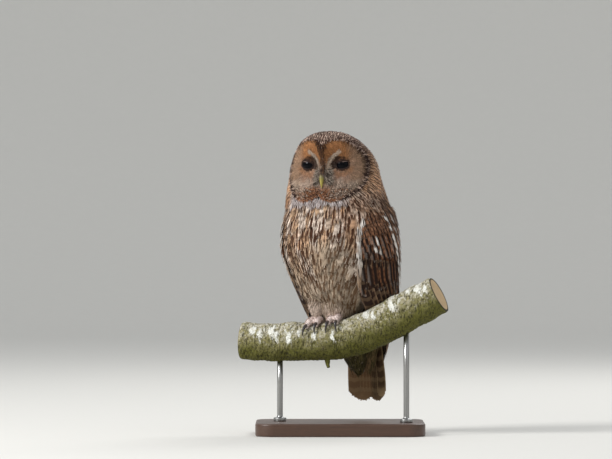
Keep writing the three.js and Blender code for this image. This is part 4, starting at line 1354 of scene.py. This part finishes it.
class OWL_OT_wings(Operator):
    """Makes the folded wings: flight feathers, three sets of coverts, the pale front edge and the
    white-edged feathers of the shoulder"""
    bl_idname = "owl.wings"
    bl_label = "Wings"

    def execute(self, context):
        look = look_at("owl_wing")
        for name, side in SIDES:
            lie = dict(facing=side, mirror=-side)
            chart = on_wing(side)
            coat = Coat(61 + side)
            route, share = flight_routes(23)
            n = len(route)
            ground = look.dark * 1.3 * coat.rng.uniform(0.8, 1.3, (n, 1))
            place = np.stack([share, 0.5 + 0 * share], -1)
            coat.add(chart, route, 8.5, look_of(ground, look.buff * 0.45, 0.0, 0.4, 0.2, 0, 0.3),
                     strips=12, depth=3.0, lift=0.2, camber=0.12, fray=0.03, roundness=0.1, tilt=-0.14 * side,
                     neck=0.7, place=place, patch=(0.8 / n, 0.8), above=0.2, **lie)
            coat.make("flight_feathers_" + name, "plumage_wing", "flight_plumage_" + name, 13.0, look.buff,
                      duty=0.3, stagger=0.2)
            coat = Coat(65 + side)
            for order, row in enumerate(COVERTS):
                self.coverts(coat, chart, lie, order, *row)
            self.front_edge(coat, chart, lie, look)
            for line in SHOULDER:
                self.shoulder(coat, chart, lie, *line)
            coat.make("coverts_" + name, "plumage_wing", "covert_plumage_" + name, 8.0, look.white)
        return {"FINISHED"}

    def coverts(self, coat, chart, lie, order, high, low, step, spacing, length, wide, above, streak):
        """One set of coverts, in staggered rows from its highest to its lowest."""
        rng = coat.rng
        for k, up in enumerate(np.arange(high, low, -step)):
            angle = np.arange(wing_value(FIRST, up) + 1, wing_value(LAST, up) + 2, spacing / DEGREE)
            angle = angle + (k % 2) * 0.5 * spacing / DEGREE + rng.uniform(-1, 1, len(angle))
            n = len(angle)
            q = np.stack([angle * DEGREE, up + rng.uniform(-0.3, 0.3, n) * step], -1)
            long = length * rng.uniform(0.88, 1.12, n)
            route = walk(chart, q, [0, 0.26, -1], long, 6)
            ground, mark = wing_markings(angle, q[:, 1] - long * 0.5, rng)
            spot = (order == 1) * (k < 2) * (np.abs(angle - 71 + 3 * k) < 4.4)
            spot = np.maximum(spot, (order < 2) * 0.12 * (rng.random(n) < 0.5))
            pale = 0.25 * (rng.random(n) < 0.5)
            coat.add(chart, route, wide, look_of(ground, mark, streak, 0.5, 0.5, spot, pale), strips=9,
                     depth=3.4, lift=0.7, camber=0.2, above=above, **lie)

    def front_edge(self, coat, chart, lie, look):
        """The pale feathers along the wing's front edge, duller further down."""
        rng = coat.rng
        n = 46
        t = np.arange(n) / n
        up = 172 - 88 * t
        angle = wing_value(FIRST, up) + rng.uniform(-0.5, 2.8, n)
        q = np.stack([angle * DEGREE, up + rng.uniform(-3, 3, n)], -1)
        dull = np.maximum(0.9 * rng.random(n) ** 2, 0.95 * ease(0.5, 0.9, t))
        ground = blend(look.white, look.buff * 0.8, dull) * rng.uniform(0.7, 1.02, (n, 1))
        route = walk(chart, q, [0, 0.05, -1], rng.uniform(12, 24, n), 5)
        coat.add(chart, route, rng.uniform(1.6, 3.2, n),
                 look_of(ground, look.dark, 0.3 * (rng.random(n) < 0.35), 0.1, 0.4),
                 depth=2.0, lift=rng.uniform(0.4, 2.4, n), fray=0.35, above=0.7, **lie)

    def shoulder(self, coat, chart, lie, shift, count, spot):
        """A line of shoulder feathers with white outer webs, down the wing's outer side."""
        rng = coat.rng
        t = np.arange(count) / (count - 1)
        q = np.stack([(86 + shift + 32 * t) * DEGREE, 186 - 84 * t - 0.12 * shift], -1)
        q = q + rng.uniform(-1, 1, (count, 2))
        ground, mark = wing_markings(q[:, 0] / DEGREE, q[:, 1] - 14, rng)
        coat.add(chart, walk(chart, q, [0, 0.14, -1], rng.uniform(24, 30, count), 6), 6.2,
                 look_of(ground, mark, 0.4, 0.5, 0.4, spot, 0.1),
                 strips=9, depth=2.6, lift=1.4, camber=0.2, above=1.2, **lie)


class OWL_OT_tail(Operator):
    """Makes the twelve tail feathers, the middle pair behind and each next pair before it"""
    bl_idname = "owl.tail"
    bl_label = "Tail"

    def execute(self, context):
        look = look_at("owl_wing")
        coat = Coat(71)
        n, rows = 12, 14
        f = (np.arange(n) - 5.5) / 5.5
        t = np.linspace(0, 1, rows + 1)[None]
        half = through(TAIL, SIDE, t) - 7.5
        up = 62 + (7.2 * bell(f, 0, 0.3) + 7 * f**4 - 151)[:, None] * t
        x = TAIL_SHIFT * t + f[:, None] * half
        back = through(TAIL, BACK, t) + 2.6 - (6.4 * np.abs(f) + TAIL_ARCH * f**2 * 0.5)[:, None]

        def chart(q):
            """Each feather's own plane (across, height), which leans along the tail's arch."""
            flat = q.reshape(n, -1, 2)
            depth = np.empty(flat.shape[:2])
            for i in range(n):
                rows_here = (x[i], back[i], half[0])
                middle, line, reach = (np.interp(-flat[i, :, 1], -up[i], row) for row in rows_here)
                depth[i] = line - TAIL_ARCH * f[i] * (flat[i, :, 0] - middle) / reach
            return np.stack([q[..., 0], depth.reshape(q.shape[:-1]), q[..., 1]], -1)

        bright = coat.rng.uniform(0.85, 1.15, n) * (1.6 - 0.9 * ease(-0.1, 0.4, f))
        pale = 0.3 + 0.5 * (f > 0.9)
        coat.add(chart, np.stack([x, up], -1), 10.5,
                 look_of(look.tail_dark * bright[:, None], look.tail_buff, 0.0, 0.3, 0.1, 0, pale), strips=12,
                 depth=0.0, lift=0.0, camber=0.08, fray=0.015, roundness=0.07, neck=0.6,
                 place=np.stack([f, 0 * f + 0.5], -1), patch=(0.8 / n, 0.85))
        coat.make("tail_feathers", "plumage_tail", "tail_plumage", 15.0, look.tail_buff,
                  duty=0.3, stagger=0.15)
        return {"FINISHED"}


# ------------------------------------------------------------------ legs and feet

def rings_chart(grid):
    """A chart over a grid of rings: the first number goes round, the second along, both in cells."""
    rows, columns = grid.shape[:2]

    def chart(q):
        a, b = q[..., 0] % columns, np.clip(q[..., 1], 0, rows - 1.001)
        i, j = b.astype(int), a.astype(int) % columns
        u, v = (a - a.astype(int))[..., None], (b - i)[..., None]
        k = (j + 1) % columns
        near, far = (grid[row, j] * (1 - u) + grid[row, k] * u for row in (i, i + 1))
        return near * (1 - v) + far * v
    return chart


def strokes(n, rng, columns, rows, reach):
    """Straight routes along such a chart, from places all over it, each of its own length in cells."""
    q = np.stack([rng.uniform(0, columns, n), rng.uniform(0, rows, n)], -1)
    return q[:, None] + np.array([0.0, 1.0]) * np.linspace(0, 1, 4)[:, None] * rng.uniform(*reach, (n, 1, 1))


def outward(chart, q, middle):
    """1 if a chart's normals mostly point away from a middle, otherwise -1."""
    here, x, y = edges(chart, q)
    return np.sign((unit(np.cross(x, y)) * (here - middle)).sum(-1).mean())


class OWL_OT_feet(Operator):
    """Makes the short feathers of the legs and toes"""
    bl_idname = "owl.feet"
    bl_label = "Legs and feet"

    def execute(self, context):
        look, body = look_at("owl_foot"), look_at("owl_body")
        coat = Coat(81)
        rng = coat.rng
        for _, side in SIDES:
            grid = leg_rings(side, -1.0, 40, 48)
            chart = rings_chart(grid)
            n = 1100
            route = strokes(n, rng, 48, 36, (6, 9))
            way = outward(chart, route[:, 0], grid.mean((0, 1)))
            top = fade(2, 26, route[:, 0, 1])
            route[..., 1] += 5 * top[:, None] * np.linspace(0, 1, 4)
            ground = blend(look.leg, body.belly, 0.8 * top) * rng.uniform(0.72, 1.1, (n, 1))
            mark = blend(ground * 0.5, body.belly_mark, top)
            coat.add(chart, route, 1.5 + 1.6 * top,
                     look_of(ground, mark, 0.15 + 0.12 * top, 0.15, 0.2, 0, 0.2),
                     strips=3, depth=1.4, lift=rng.uniform(0.6, 2.4, n), fray=0.4, facing=way)
            for toe in TOES:
                grid = toe_rings(side, toe, 0.5, 24, 24)
                chart = rings_chart(grid)
                n = 420
                route = strokes(n, rng, 24, 20.5, (3, 5))
                way = outward(chart, route[:, 0], grid.mean(1)[route[:, 0, 1].astype(int)])
                route[..., 1] = np.minimum(route[..., 1], 22.9)
                ground = look.toe * rng.uniform(0.75, 1.12, (n, 1))
                coat.add(chart, route, 0.9, look_of(ground, ground * 0.65, 0.1, 0.1, 0.05, 0, 0.2),
                         strips=1, depth=0.8, lift=1.1, fray=0.4, facing=way)
        coat.make("foot_feathers", "toe_feather", "foot_plumage", 3.0, look.toe)
        return {"FINISHED"}


# ------------------------------------------------------------------ eyes, bill and talons

def globe(side, rows=40, columns=56):
    """A sphere about an eye's centre whose pole looks the eye's own way: from the pole, an angle out and
    one round."""
    out, turn = np.linspace(0.03, pi - 0.03, rows)[:, None], around(columns)
    local = xyz(np.sin(out) * np.cos(turn), -np.cos(out), np.sin(out) * np.sin(turn))
    return turned(local * EYE_RADIUS, HEAD_TURN + side * EYE_TURN) + eye_centre(side)


def on_lid(side):
    """A chart of the lids' outer surface over (LID_REACH times the share from the opening's rim outwards,
    angle round it). The opening is flat above and full below, its outer corner the higher."""
    def chart(q):
        s, turn = q[..., 0] / LID_REACH, q[..., 1]
        c, n = np.cos(turn), np.sin(turn)
        ox = (8.9 + 0.5 * side) * power(c, 0.9)
        oz = np.where(n > 0, 2.9 * np.abs(n) ** 0.8, -5.9 * np.abs(n) ** 0.95) + 1.0
        tilt = side * radians(12)
        ox, oz = ox * cos(tilt) - oz * sin(tilt), ox * sin(tilt) + oz * cos(tilt)
        x, z = ox + (LID_REACH * c - ox) * s, oz + (LID_REACH * n - oz) * s
        radius = EYE_RADIUS + 0.2 + 1.2 * ease(0, 0.2, s) - 0.4 * ease(0.5, 1, s)
        y = -np.sqrt(np.maximum(radius**2 - x**2 - z**2, 1.0))
        return turned(xyz(x, y, z), HEAD_TURN + side * EYE_TURN) + eye_centre(side)
    return chart


class OWL_OT_eyes(Operator):
    """Makes the eyes, each a polished ball with iris and pupil, and the half-closed lids"""
    bl_idname = "owl.eyes"
    bl_label = "Eyes and lids"

    def execute(self, context):
        eye_material, lid_material = self.eye_paint(), self.lid_paint()
        for name, side in SIDES:
            obj = shells("eye_ball_" + name, to_scene(globe(side)))
            axis = turned(np.array([0.0, -1.0, 0.0]), HEAD_TURN + side * EYE_TURN + BODY_YAW)
            out = unit(points_of(obj) - to_scene(eye_centre(side)))
            add_attribute(obj, "gaze", np.arccos(np.clip((out * axis).sum(-1), -1, 1)) / (pi / 2))
            settle(obj, eye_material, "eye", "eye_" + name)
            rows, columns = 12, 72
            s, turn = np.meshgrid(np.linspace(0, 1, rows), around(columns), indexing="ij")
            points = on_lid(side)(np.stack([s * LID_REACH, turn], -1))
            quads = grid_quads(rows, columns)[:, ::-1]
            obj = make_object("eyelids_" + name, to_scene(points.reshape(-1, 3)), quads)
            outer = np.cos(turn - pi / 2 + side * 0.8)
            add_attribute(obj, "share", s.ravel())
            add_attribute(obj, "gaze", (fade(0.03, 0.14, s) * ease(0.35, 0.9, outer)).ravel())
            settle(obj, lid_material, "plumage_head")
        return {"FINISHED"}

    def eye_paint(self):
        """A black pupil, a dark iris and a darker rim, by the angle from where the eye looks."""
        look = look_at("owl_foot")
        paint = Paint("eye", 0.04, **{"Specular IOR Level": 0.08})
        gaze = paint.attribute("gaze", "Fac")
        grain = paint.noise(paint.place(), 1500.0, 2.0)
        iris = paint.mix(paint.step(0.42, 0.5, gaze + grain * 0.04), (0.002, 0.002, 0.003), look.eye)
        return paint.finish(paint.mix(paint.step(0.62, 0.8, gaze), iris, look.eye * 0.5))

    def lid_paint(self):
        """Dark skin at the opening, brown further out, with a pale bare rim."""
        look = look_at("owl_head")
        paint = Paint("eyelid", 0.7, **{"Specular IOR Level": 0.15})
        grain = paint.noise(paint.place(), 1200.0)
        share = paint.step(0.2, 0.6, paint.attribute("share", "Fac"))
        dark = paint.mix(share, look.dusk * 0.8, look.rufous * 0.5)
        rim = paint.step(0.55, 0.9, paint.attribute("gaze", "Fac") + grain * 0.1)
        colour = paint.mix(rim, dark, look_at("owl_foot").lid)
        return paint.finish(paint.scale(colour, 0.7 + grain * 0.6), None, grain, 0.0004, 0.6)


def horn(root, crest, tip, width, depth, rows=28, columns=24):
    """Half of the bill: a tube that narrows along a curve from its root over its crest to its tip, each
    given as (forward, up) from the face's centre."""
    t = np.linspace(0, 1, rows)[:, None]
    forward, up = np.array([root, crest, tip], float).T
    weights = np.concatenate([(1 - t) ** 2, 2 * t * (1 - t), t * t], -1)
    path = from_face(0.0, weights @ forward, weights @ up)
    left = face_way(1, 0, 0)
    rise = np.cross(left, unit(np.gradient(path, axis=0)))
    c, s = np.cos(around(columns)), np.sin(around(columns))
    girth = 1 - t**2.2
    keel = np.where(s > 0, 1 + 0.12 * bell(c, 0, 0.3), 1.0)
    return path[:, None] + left * ((width * girth + 0.3) * c)[..., None] \
        - rise[:, None] * ((depth * girth + 0.3) * s * keel)[..., None]


class OWL_OT_bill(Operator):
    """Makes the two halves of the bill, horn with a keel along the upper one"""
    bl_idname = "owl.bill"
    bl_label = "Bill"

    def execute(self, context):
        look = look_at("owl_foot")
        paint = Paint("bill_horn", 0.35, **{"Coat Weight": 0.2})
        x, y, z = paint.split(paint.place())
        grain = paint.noise(paint.join(x * 700, y * 700, z * 160), 1.0)
        middle = (FOOTING[2] + FACE_CENTRE[2]) * MM
        root = paint.step(middle - 0.026, middle - 0.012, z + (grain - 0.5) * 0.006)
        colour = paint.scale(paint.mix(root, look.bill, look.bill_root), 0.75 + grain * 0.5)
        material = paint.finish(colour, None, grain, 0.0003, 0.4)
        for name, *values in (("upper", (44, -12), (62, -13), (58, -32), 4.3, 5.6),
                              ("lower", (44, -21), (56, -22), (54.5, -29.5), 3.2, 3.0)):
            obj = shells("bill_horn_" + name, to_scene(horn(*values)))
            settle(obj, material, "bill_horn", "bill_" + name)
        return {"FINISHED"}


class OWL_OT_talons(Operator):
    """Makes the eight talons: tubes that narrow along their curve from the toe to the bark"""
    bl_idname = "owl.talons"
    bl_label = "Talons"

    def execute(self, context):
        look = look_at("owl_foot")
        paint = Paint("talon_horn", 0.22, **{"Coat Weight": 0.3})
        grain = paint.noise(paint.place(), 900.0, 2.0)
        share = paint.step(0.0, 0.45, paint.attribute("share", "Fac") + (grain - 0.5) * 0.2)
        colour = paint.scale(paint.mix(share, look.talon_root, look.talon), 0.7 + 0.6 * grain)
        material = paint.finish(colour, None, grain, 0.0002, 0.3)
        t = np.linspace(0, 1, 22)
        height = 4.6 * (1 - t) + 0.9 + 3.2 * np.sin(pi * np.minimum(t * 1.15, 1))
        for name, side in SIDES:
            for toe, (_, _, reach) in TOES.items():
                angle = reach + np.sign(reach) * (radians(29) * t - radians(5))
                ring = toe_tube(side, toe, angle, height, 2.5 * (1 - t) ** 0.8 + 0.22, 16)
                obj = shells(f"claw_{name}_{toe}", to_scene(off_perch(ring, 0.05)))
                start = to_scene(toe_spot(side, toe, angle[0], height[0]))
                far = np.linalg.norm(points_of(obj) - start, axis=-1)
                add_attribute(obj, "share", far / far.max())
                settle(obj, material, "talon_horn", f"talon_{name}_{toe}")
        return {"FINISHED"}


# ------------------------------------------------------------------ perch and stand

# The larger patches of lichen: x along the perch, degrees from its top, half its length, half its height.
LICHEN = np.array([
    (-118, 50, 5, 9), (-108, 62, 4, 11), (-92, 48, 6, 14), (-84, 66, 4, 10), (-66, 74, 5.5, 11),
    (-52, 60, 3, 6), (-30, 70, 3.5, 8), (-4, 78, 2.5, 10), (48, 38, 6, 11), (56, 55, 3, 9), (82, 45, 5, 16),
    (106, 30, 3.5, 8), (119, 40, 5, 14), (128, 60, 3.5, 8), (-125, -40, 6, 12), (-70, -50, 5, 13),
    (-22, -35, 6, 9), (36, -55, 5, 14), (88, -38, 6, 12), (120, -60, 4, 9)])


class OWL_OT_perch(Operator):
    """Makes the perch: a tube round its curved axis with uneven bark, cracked across and lumpy, two sawn
    ends and the stump of a twig"""
    bl_idname = "owl.perch"
    bl_label = "Perch"

    def execute(self, context):
        x, a = np.linspace(*PERCH_ENDS, 440)[:, None], around(160, -pi)
        flat = xyz(x, np.cos(a) * 26, np.sin(a) * 26)
        lumps = 0.8 * cloud(flat, 34, 1) + 0.55 * cloud(flat, 14, 2) + 0.4 * cloud(flat * [1.8, 1, 1], 6, 3)
        cracks = -0.9 * ease(0.5, 0.95, cloud(flat * [2.2, 0.7, 0.7], 9, 4))
        rim = from_end(x)
        body = on_perch(x + 0 * a, a + 0 * x, (lumps + cracks) * ease(0, 5, rim) - 1.2 * fade(0, 2.5, rim))
        first, last = (perch_frame(np.array(end))[0] for end in PERCH_ENDS)
        s = np.linspace(0.06, 0.96, 14)[:, None, None]
        log = np.concatenate([first + (body[0] - first) * s, body, last + (body[-1] - last) * s[::-1]])
        obj = shells("bark", log * MM, self.stump() * MM)
        x, r, angle, _, _ = perch_place(points_of(obj) / MM)
        add_attribute(obj, "log", xyz(np.cos(angle), r / 26, fade(0.02, 0.2, from_end(x))))
        turn = np.abs((np.degrees(angle)[:, None] - LICHEN[:, 1] + 180) % 360 - 180)
        near = np.hypot((x[:, None] - LICHEN[:, 0] - 0.12 * turn) / LICHEN[:, 2], turn / 2.2 / LICHEN[:, 3])
        add_attribute(obj, "lichen", 1.3 - near.min(1))
        settle(obj, self.paint(), "bark", "perch")
        return {"FINISHED"}

    def stump(self):
        """A short, uneven cone out of the perch's underside."""
        t = np.linspace(0, 1, 16)
        where = np.array(-19.0), np.array(radians(168))
        base = on_perch(*where, -6.0)
        path = base + unit(on_perch(*where, 9.0) - base) * (t * 17.5)[:, None] + xyz(t**2, 0, 0)
        forth = unit(np.gradient(path, axis=0))
        across = unit(np.cross(forth, np.array([1.0, 0.0, 0.0]) + 1e-4))
        radius = np.repeat((5.4 - 3.2 * t**0.8)[:, None], 20, 1)
        ring = rings_about(path, across, np.cross(across, forth), radius)
        return ring + unit(ring - path[:, None]) * (0.35 * cloud(ring, 6, 8))[..., None]

    def paint(self):
        """Mottled bark, mossy below and crusted above, with white lichen, dark cracks and specks, and
        rings of growth on the sawn ends."""
        look = look_at("owl_perch")
        paint = Paint("bark", 0.85, **{"Specular IOR Level": 0.3})
        place = paint.place()
        x, y, z = paint.split(place)
        above, far, end = paint.split(paint.attribute("log", "Vector"))
        grains = paint.noise(place, 520.0, 5.0, 0.7)
        broad = paint.noise(place, 60.0, 4.0, 0.6)
        blots = paint.noise(place, 150.0, 4.0, 0.65)
        cross = paint.noise(paint.join(x * 2.6, y * 0.8, z * 0.8), 190.0, 4.0, 0.6)
        uneven = broad - 0.5
        colour = paint.mix(paint.step(0.35, 0.65, blots), look.bark * 1.15, look.bark * 0.7)
        crust = paint.step(0.1, 0.8, above + uneven * 1.2) * paint.step(0.38, 0.6, blots)
        colour = paint.mix(crust, colour, look.crust)
        low = 1 - paint.step(-0.7, 0.6, above + uneven * 1.6)
        colour = paint.mix(low * 0.92, colour, look.moss)
        tufts = paint.step(0.45, 0.7, paint.noise(place, 95.0, 5.0, 0.7))
        colour = paint.mix(tufts * 0.7, colour, look.moss * 1.25)
        dots = paint.noise(paint.join(x * 1.5, y * 0.8, z * 0.8), 120.0, 2.0, 0.45)
        flecks = paint.step(0.6, 0.66, dots + (grains - 0.5) * 0.2) * paint.step(0.2, 0.7, above)
        streaky = paint.noise(paint.join(x * 3.0, y * 0.7, z * 0.7), 150.0, 4.0, 0.7)
        ragged = paint.attribute("lichen", "Fac") + (streaky - 0.5) * 2.6 + (grains - 0.5) * 1.8
        patch = paint.math("MAXIMUM", paint.step(0.2, 0.75, ragged), flecks * 0.7)
        colour = paint.mix(patch, colour, paint.scale(look.lichen, 0.8 + grains * 0.4))
        mottle = paint.step(0.5, 0.64, paint.noise(place, 230.0, 5.0, 0.7))
        mottle = mottle * paint.step(-0.5, 0.5, above + uneven)
        colour = paint.mix(mottle * 0.75, colour, look.crust)
        dark = paint.step(0.53, 0.66, cross) * (1 - patch)
        colour = paint.mix(dark * 0.8, colour, look.fissure)
        speck = paint.step(0.52, 0.64, paint.noise(place, 420.0, 4.0, 0.7)) * (1 - patch * 0.7)
        colour = paint.mix(speck * 0.75, colour, look.fissure)
        year = paint.math("SINE", far * 95.0 + broad * 6.0) * 0.5 + 0.5
        wood = paint.mix(paint.step(0.86, 0.93, far), look.heart, look.fissure)
        colour = paint.mix(end, colour, paint.scale(wood, 0.75 + 0.3 * year))
        height = grains * 0.7 + broad * 0.5 + blots * 0.5 - dark * 0.8 + patch * 0.25
        return paint.finish(paint.scale(colour, 0.7 + grains * 0.6), None, height, 0.0014, 0.8)


def lathe(profile, columns, x=0.0, y=0.0):
    """A profile of (radius, height) turned about an upright axis through a point."""
    turn, r, z = around(columns), profile[:, :1], profile[:, 1:]
    return xyz(x + r * np.cos(turn), y + r * np.sin(turn), z)


class OWL_OT_stand(Operator):
    """Makes the stand: a flat wooden base with rounded corners and edges, and two turned rods"""
    bl_idname = "owl.stand"
    bl_label = "Stand"

    half, corner, edge, height = np.array([118.0, 84.0]), 26.0, 2.5, 18.0
    rods = (("left", -84.0), ("right", 92.0))

    def execute(self, context):
        settle(shells("base_block", self.base() * MM), self.wood(), "stand_wood", "stand_base")
        steel = self.steel()
        for name, at in self.rods:
            obj = shells("rod_turned_" + name, self.rod(np.array(at)) * MM)
            settle(obj, steel, "stand_steel", "stand_rod_" + name)
        return {"FINISHED"}

    def base(self):
        """The base's outline, drawn for rows of (share of its size, growth outwards, height): the flat
        underside, both rounded edges and the flat top."""
        c, s = np.cos(around(192)), np.sin(around(192))
        centre = np.stack([np.sign(c), np.sign(s)], -1) * (self.half - self.corner)
        flat, bend = np.linspace(0.04, 0.97, 8), np.linspace(0, pi / 2, 7)
        share, grow, z = np.concatenate([
            xyz(flat, 0, 0),
            xyz(1, self.edge * np.sin(bend), self.edge * (1 - np.cos(bend))),
            xyz(1, self.edge * np.cos(bend), self.height - self.edge * (1 - np.sin(bend))),
            xyz(flat[::-1], 0, self.height)]).T[..., None]
        reach = self.corner - self.edge + grow
        return xyz(share * (centre[:, 0] + reach * c), share * (centre[:, 1] + reach * s), z)

    def rod(self, at):
        """A rod with a small flange, from the base up into the perch at x."""
        point = perch_frame(at)[0]
        high = point[2] - perch_radius(at, np.array(pi)) + 11.5
        profile = np.array([
            (0.5, 18.3), (8.4, 18.3), (8.85, 18.5), (9, 19.0), (9, 22.4), (8.8, 23.0), (8.2, 23.3),
            (5.6, 23.6), (4.6, 24.2), (4.1, 25.2), (4, 26.5), (4, (26.5 + high) / 2), (4, high), (0.5, high)])
        return lathe(profile, 48, *point[:2])

    def wood(self):
        """Dark hardwood, its grain and pores drawn out along the base."""
        look = look_at("owl_perch")
        paint = Paint("stand_wood", 0.42, **{"Coat Weight": 0.25, "Coat Roughness": 0.3})
        x, y, z = paint.split(paint.place())
        warp = paint.noise(paint.join(x, y * 5.0, z * 5.0), 6.0)
        grain = paint.noise(paint.join(x * 14, y * 420 + warp * 22, z * 420), 1.0, 4.0, 0.6)
        pores = paint.step(0.6, 0.7, paint.noise(paint.join(x * 60, y * 1500, z * 1500), 1.0, 2.0))
        colour = paint.mix(grain, look.wood * 0.6, look.wood * 1.5)
        colour = paint.mix(pores * 0.5, colour, look.wood * 0.3)
        return paint.finish(colour, grain * 0.2 + 0.32, grain * 0.5 - pores * 0.6, 0.0003, 0.35)

    def steel(self):
        """Steel brushed round the rods."""
        look = look_at("owl_perch")
        paint = Paint("stand_steel", 0.3, Metallic=1.0)
        x, y, z = paint.split(paint.place())
        brushed = paint.noise(paint.join(x * 300, y * 300, z * 5200), 1.0)
        colour = paint.mix(brushed, look.steel * 0.8, look.steel)
        return paint.finish(colour, brushed * 0.2 + 0.22, brushed, 0.0001, 0.25)


# ------------------------------------------------------------------ studio

CAMERA_AWAY = 6.0  # metres before the owl
PICTURE_WIDTH = 0.8568  # metres across the picture, at the owl's distance
# The lights: name, place, power in watts, width.
LAMPS = (("key", (-2.9, -1.7, 2.2), 138, 1.3), ("fill", (2.4, -2.4, 1.2), 5, 2.0),
         ("rim", (1.2, 2.0, 2.2), 30, 1.4))


class OWL_OT_studio(Operator):
    """Makes the floor and backdrop, the soft lights and the camera"""
    bl_idname = "owl.studio"
    bl_label = "Studio"

    def execute(self, context):
        scene = context.scene
        self.floor(look_at("owl_perch").floor)
        scene.world = bpy.data.worlds.new("studio")
        scene.world.use_nodes = True
        sky = scene.world.node_tree.nodes["Background"]
        sky.inputs[0].default_value, sky.inputs[1].default_value = (0.93, 0.96, 1.0, 1), 0.7
        for name, place, power, width in LAMPS:
            light = bpy.data.lights.new(name, "AREA")
            light.energy, light.size = power, width
            aim = Vector((0, 0, 0.25)) - Vector(place)
            self.put(name, light, place, aim.to_track_quat("-Z", "Y").to_euler())
        data = bpy.data.cameras.new("camera")
        data.sensor_width = 36.0
        data.lens = data.sensor_width * CAMERA_AWAY / PICTURE_WIDTH
        data.clip_end = 60
        scene.camera = self.put("camera", data, (-0.0476, -CAMERA_AWAY, 0.2867), (pi / 2, 0, 0))
        scene.view_settings.view_transform = "Standard"
        return {"FINISHED"}

    def floor(self, tone):
        """A level disc, a quarter turn and a low wall, turned about the owl."""
        bend = np.linspace(0, pi / 2, 20)
        run = np.stack([5.5 + 3.5 * np.sin(bend), 3.5 - 3.5 * np.cos(bend)], -1)
        points = lathe(np.concatenate([[(0, 0), (0.05, 0), (3, 0)], run]), 96)
        obj = make_object("floor", points.reshape(-1, 3), grid_quads(len(points), 96))
        paint = Paint("floor", 0.9)
        speck = paint.noise(paint.place(), 40.0)
        colour = paint.mix(speck, tone, tone * 0.97)
        obj.data.materials.append(paint.finish(colour, None, speck, 0.0003, 0.05))

    def put(self, name, data, place, rotation):
        """Puts a lamp or camera into the scene."""
        obj = bpy.data.objects.new(name, data)
        bpy.context.collection.objects.link(obj)
        obj.location, obj.rotation_euler = place, rotation
        return obj


# ------------------------------------------------------------------ panel and registration

STEPS = (OWL_OT_skin, OWL_OT_face, OWL_OT_head, OWL_OT_body, OWL_OT_wings, OWL_OT_tail, OWL_OT_feet,
         OWL_OT_eyes, OWL_OT_bill, OWL_OT_talons, OWL_OT_perch, OWL_OT_stand, OWL_OT_studio)
LOOKS = {"owl_head": HeadLook, "owl_body": BodyLook, "owl_wing": WingLook, "owl_foot": FootLook,
         "owl_perch": PerchLook}


class OWL_PT_panel(Panel):
    """Lists the owl's sizes and colours and the steps that build it"""
    bl_idname = "OWL_PT_panel"
    bl_label = "Tawny owl"
    bl_space_type = "VIEW_3D"
    bl_region_type = "UI"
    bl_category = "Owl"

    def draw(self, context):
        for name, group in LOOKS.items():
            box = self.layout.box()
            for key in group.__annotations__:
                box.prop(getattr(context.scene, name), key)
        for step in STEPS:
            self.layout.operator(step.bl_idname)


CLASSES = (*LOOKS.values(), *STEPS, OWL_PT_panel)


def register():
    for item in CLASSES:
        bpy.utils.register_class(item)
    for name, group in LOOKS.items():
        setattr(bpy.types.Scene, name, PointerProperty(type=group))


def unregister():
    for name in LOOKS:
        delattr(bpy.types.Scene, name)
    for item in reversed(CLASSES):
        bpy.utils.unregister_class(item)


def main():
    """Builds every piece in order."""
    register()
    for step in STEPS:
        group, name = step.bl_idname.split(".")
        getattr(getattr(bpy.ops, group), name)()


if __name__ == "__main__":
    main()
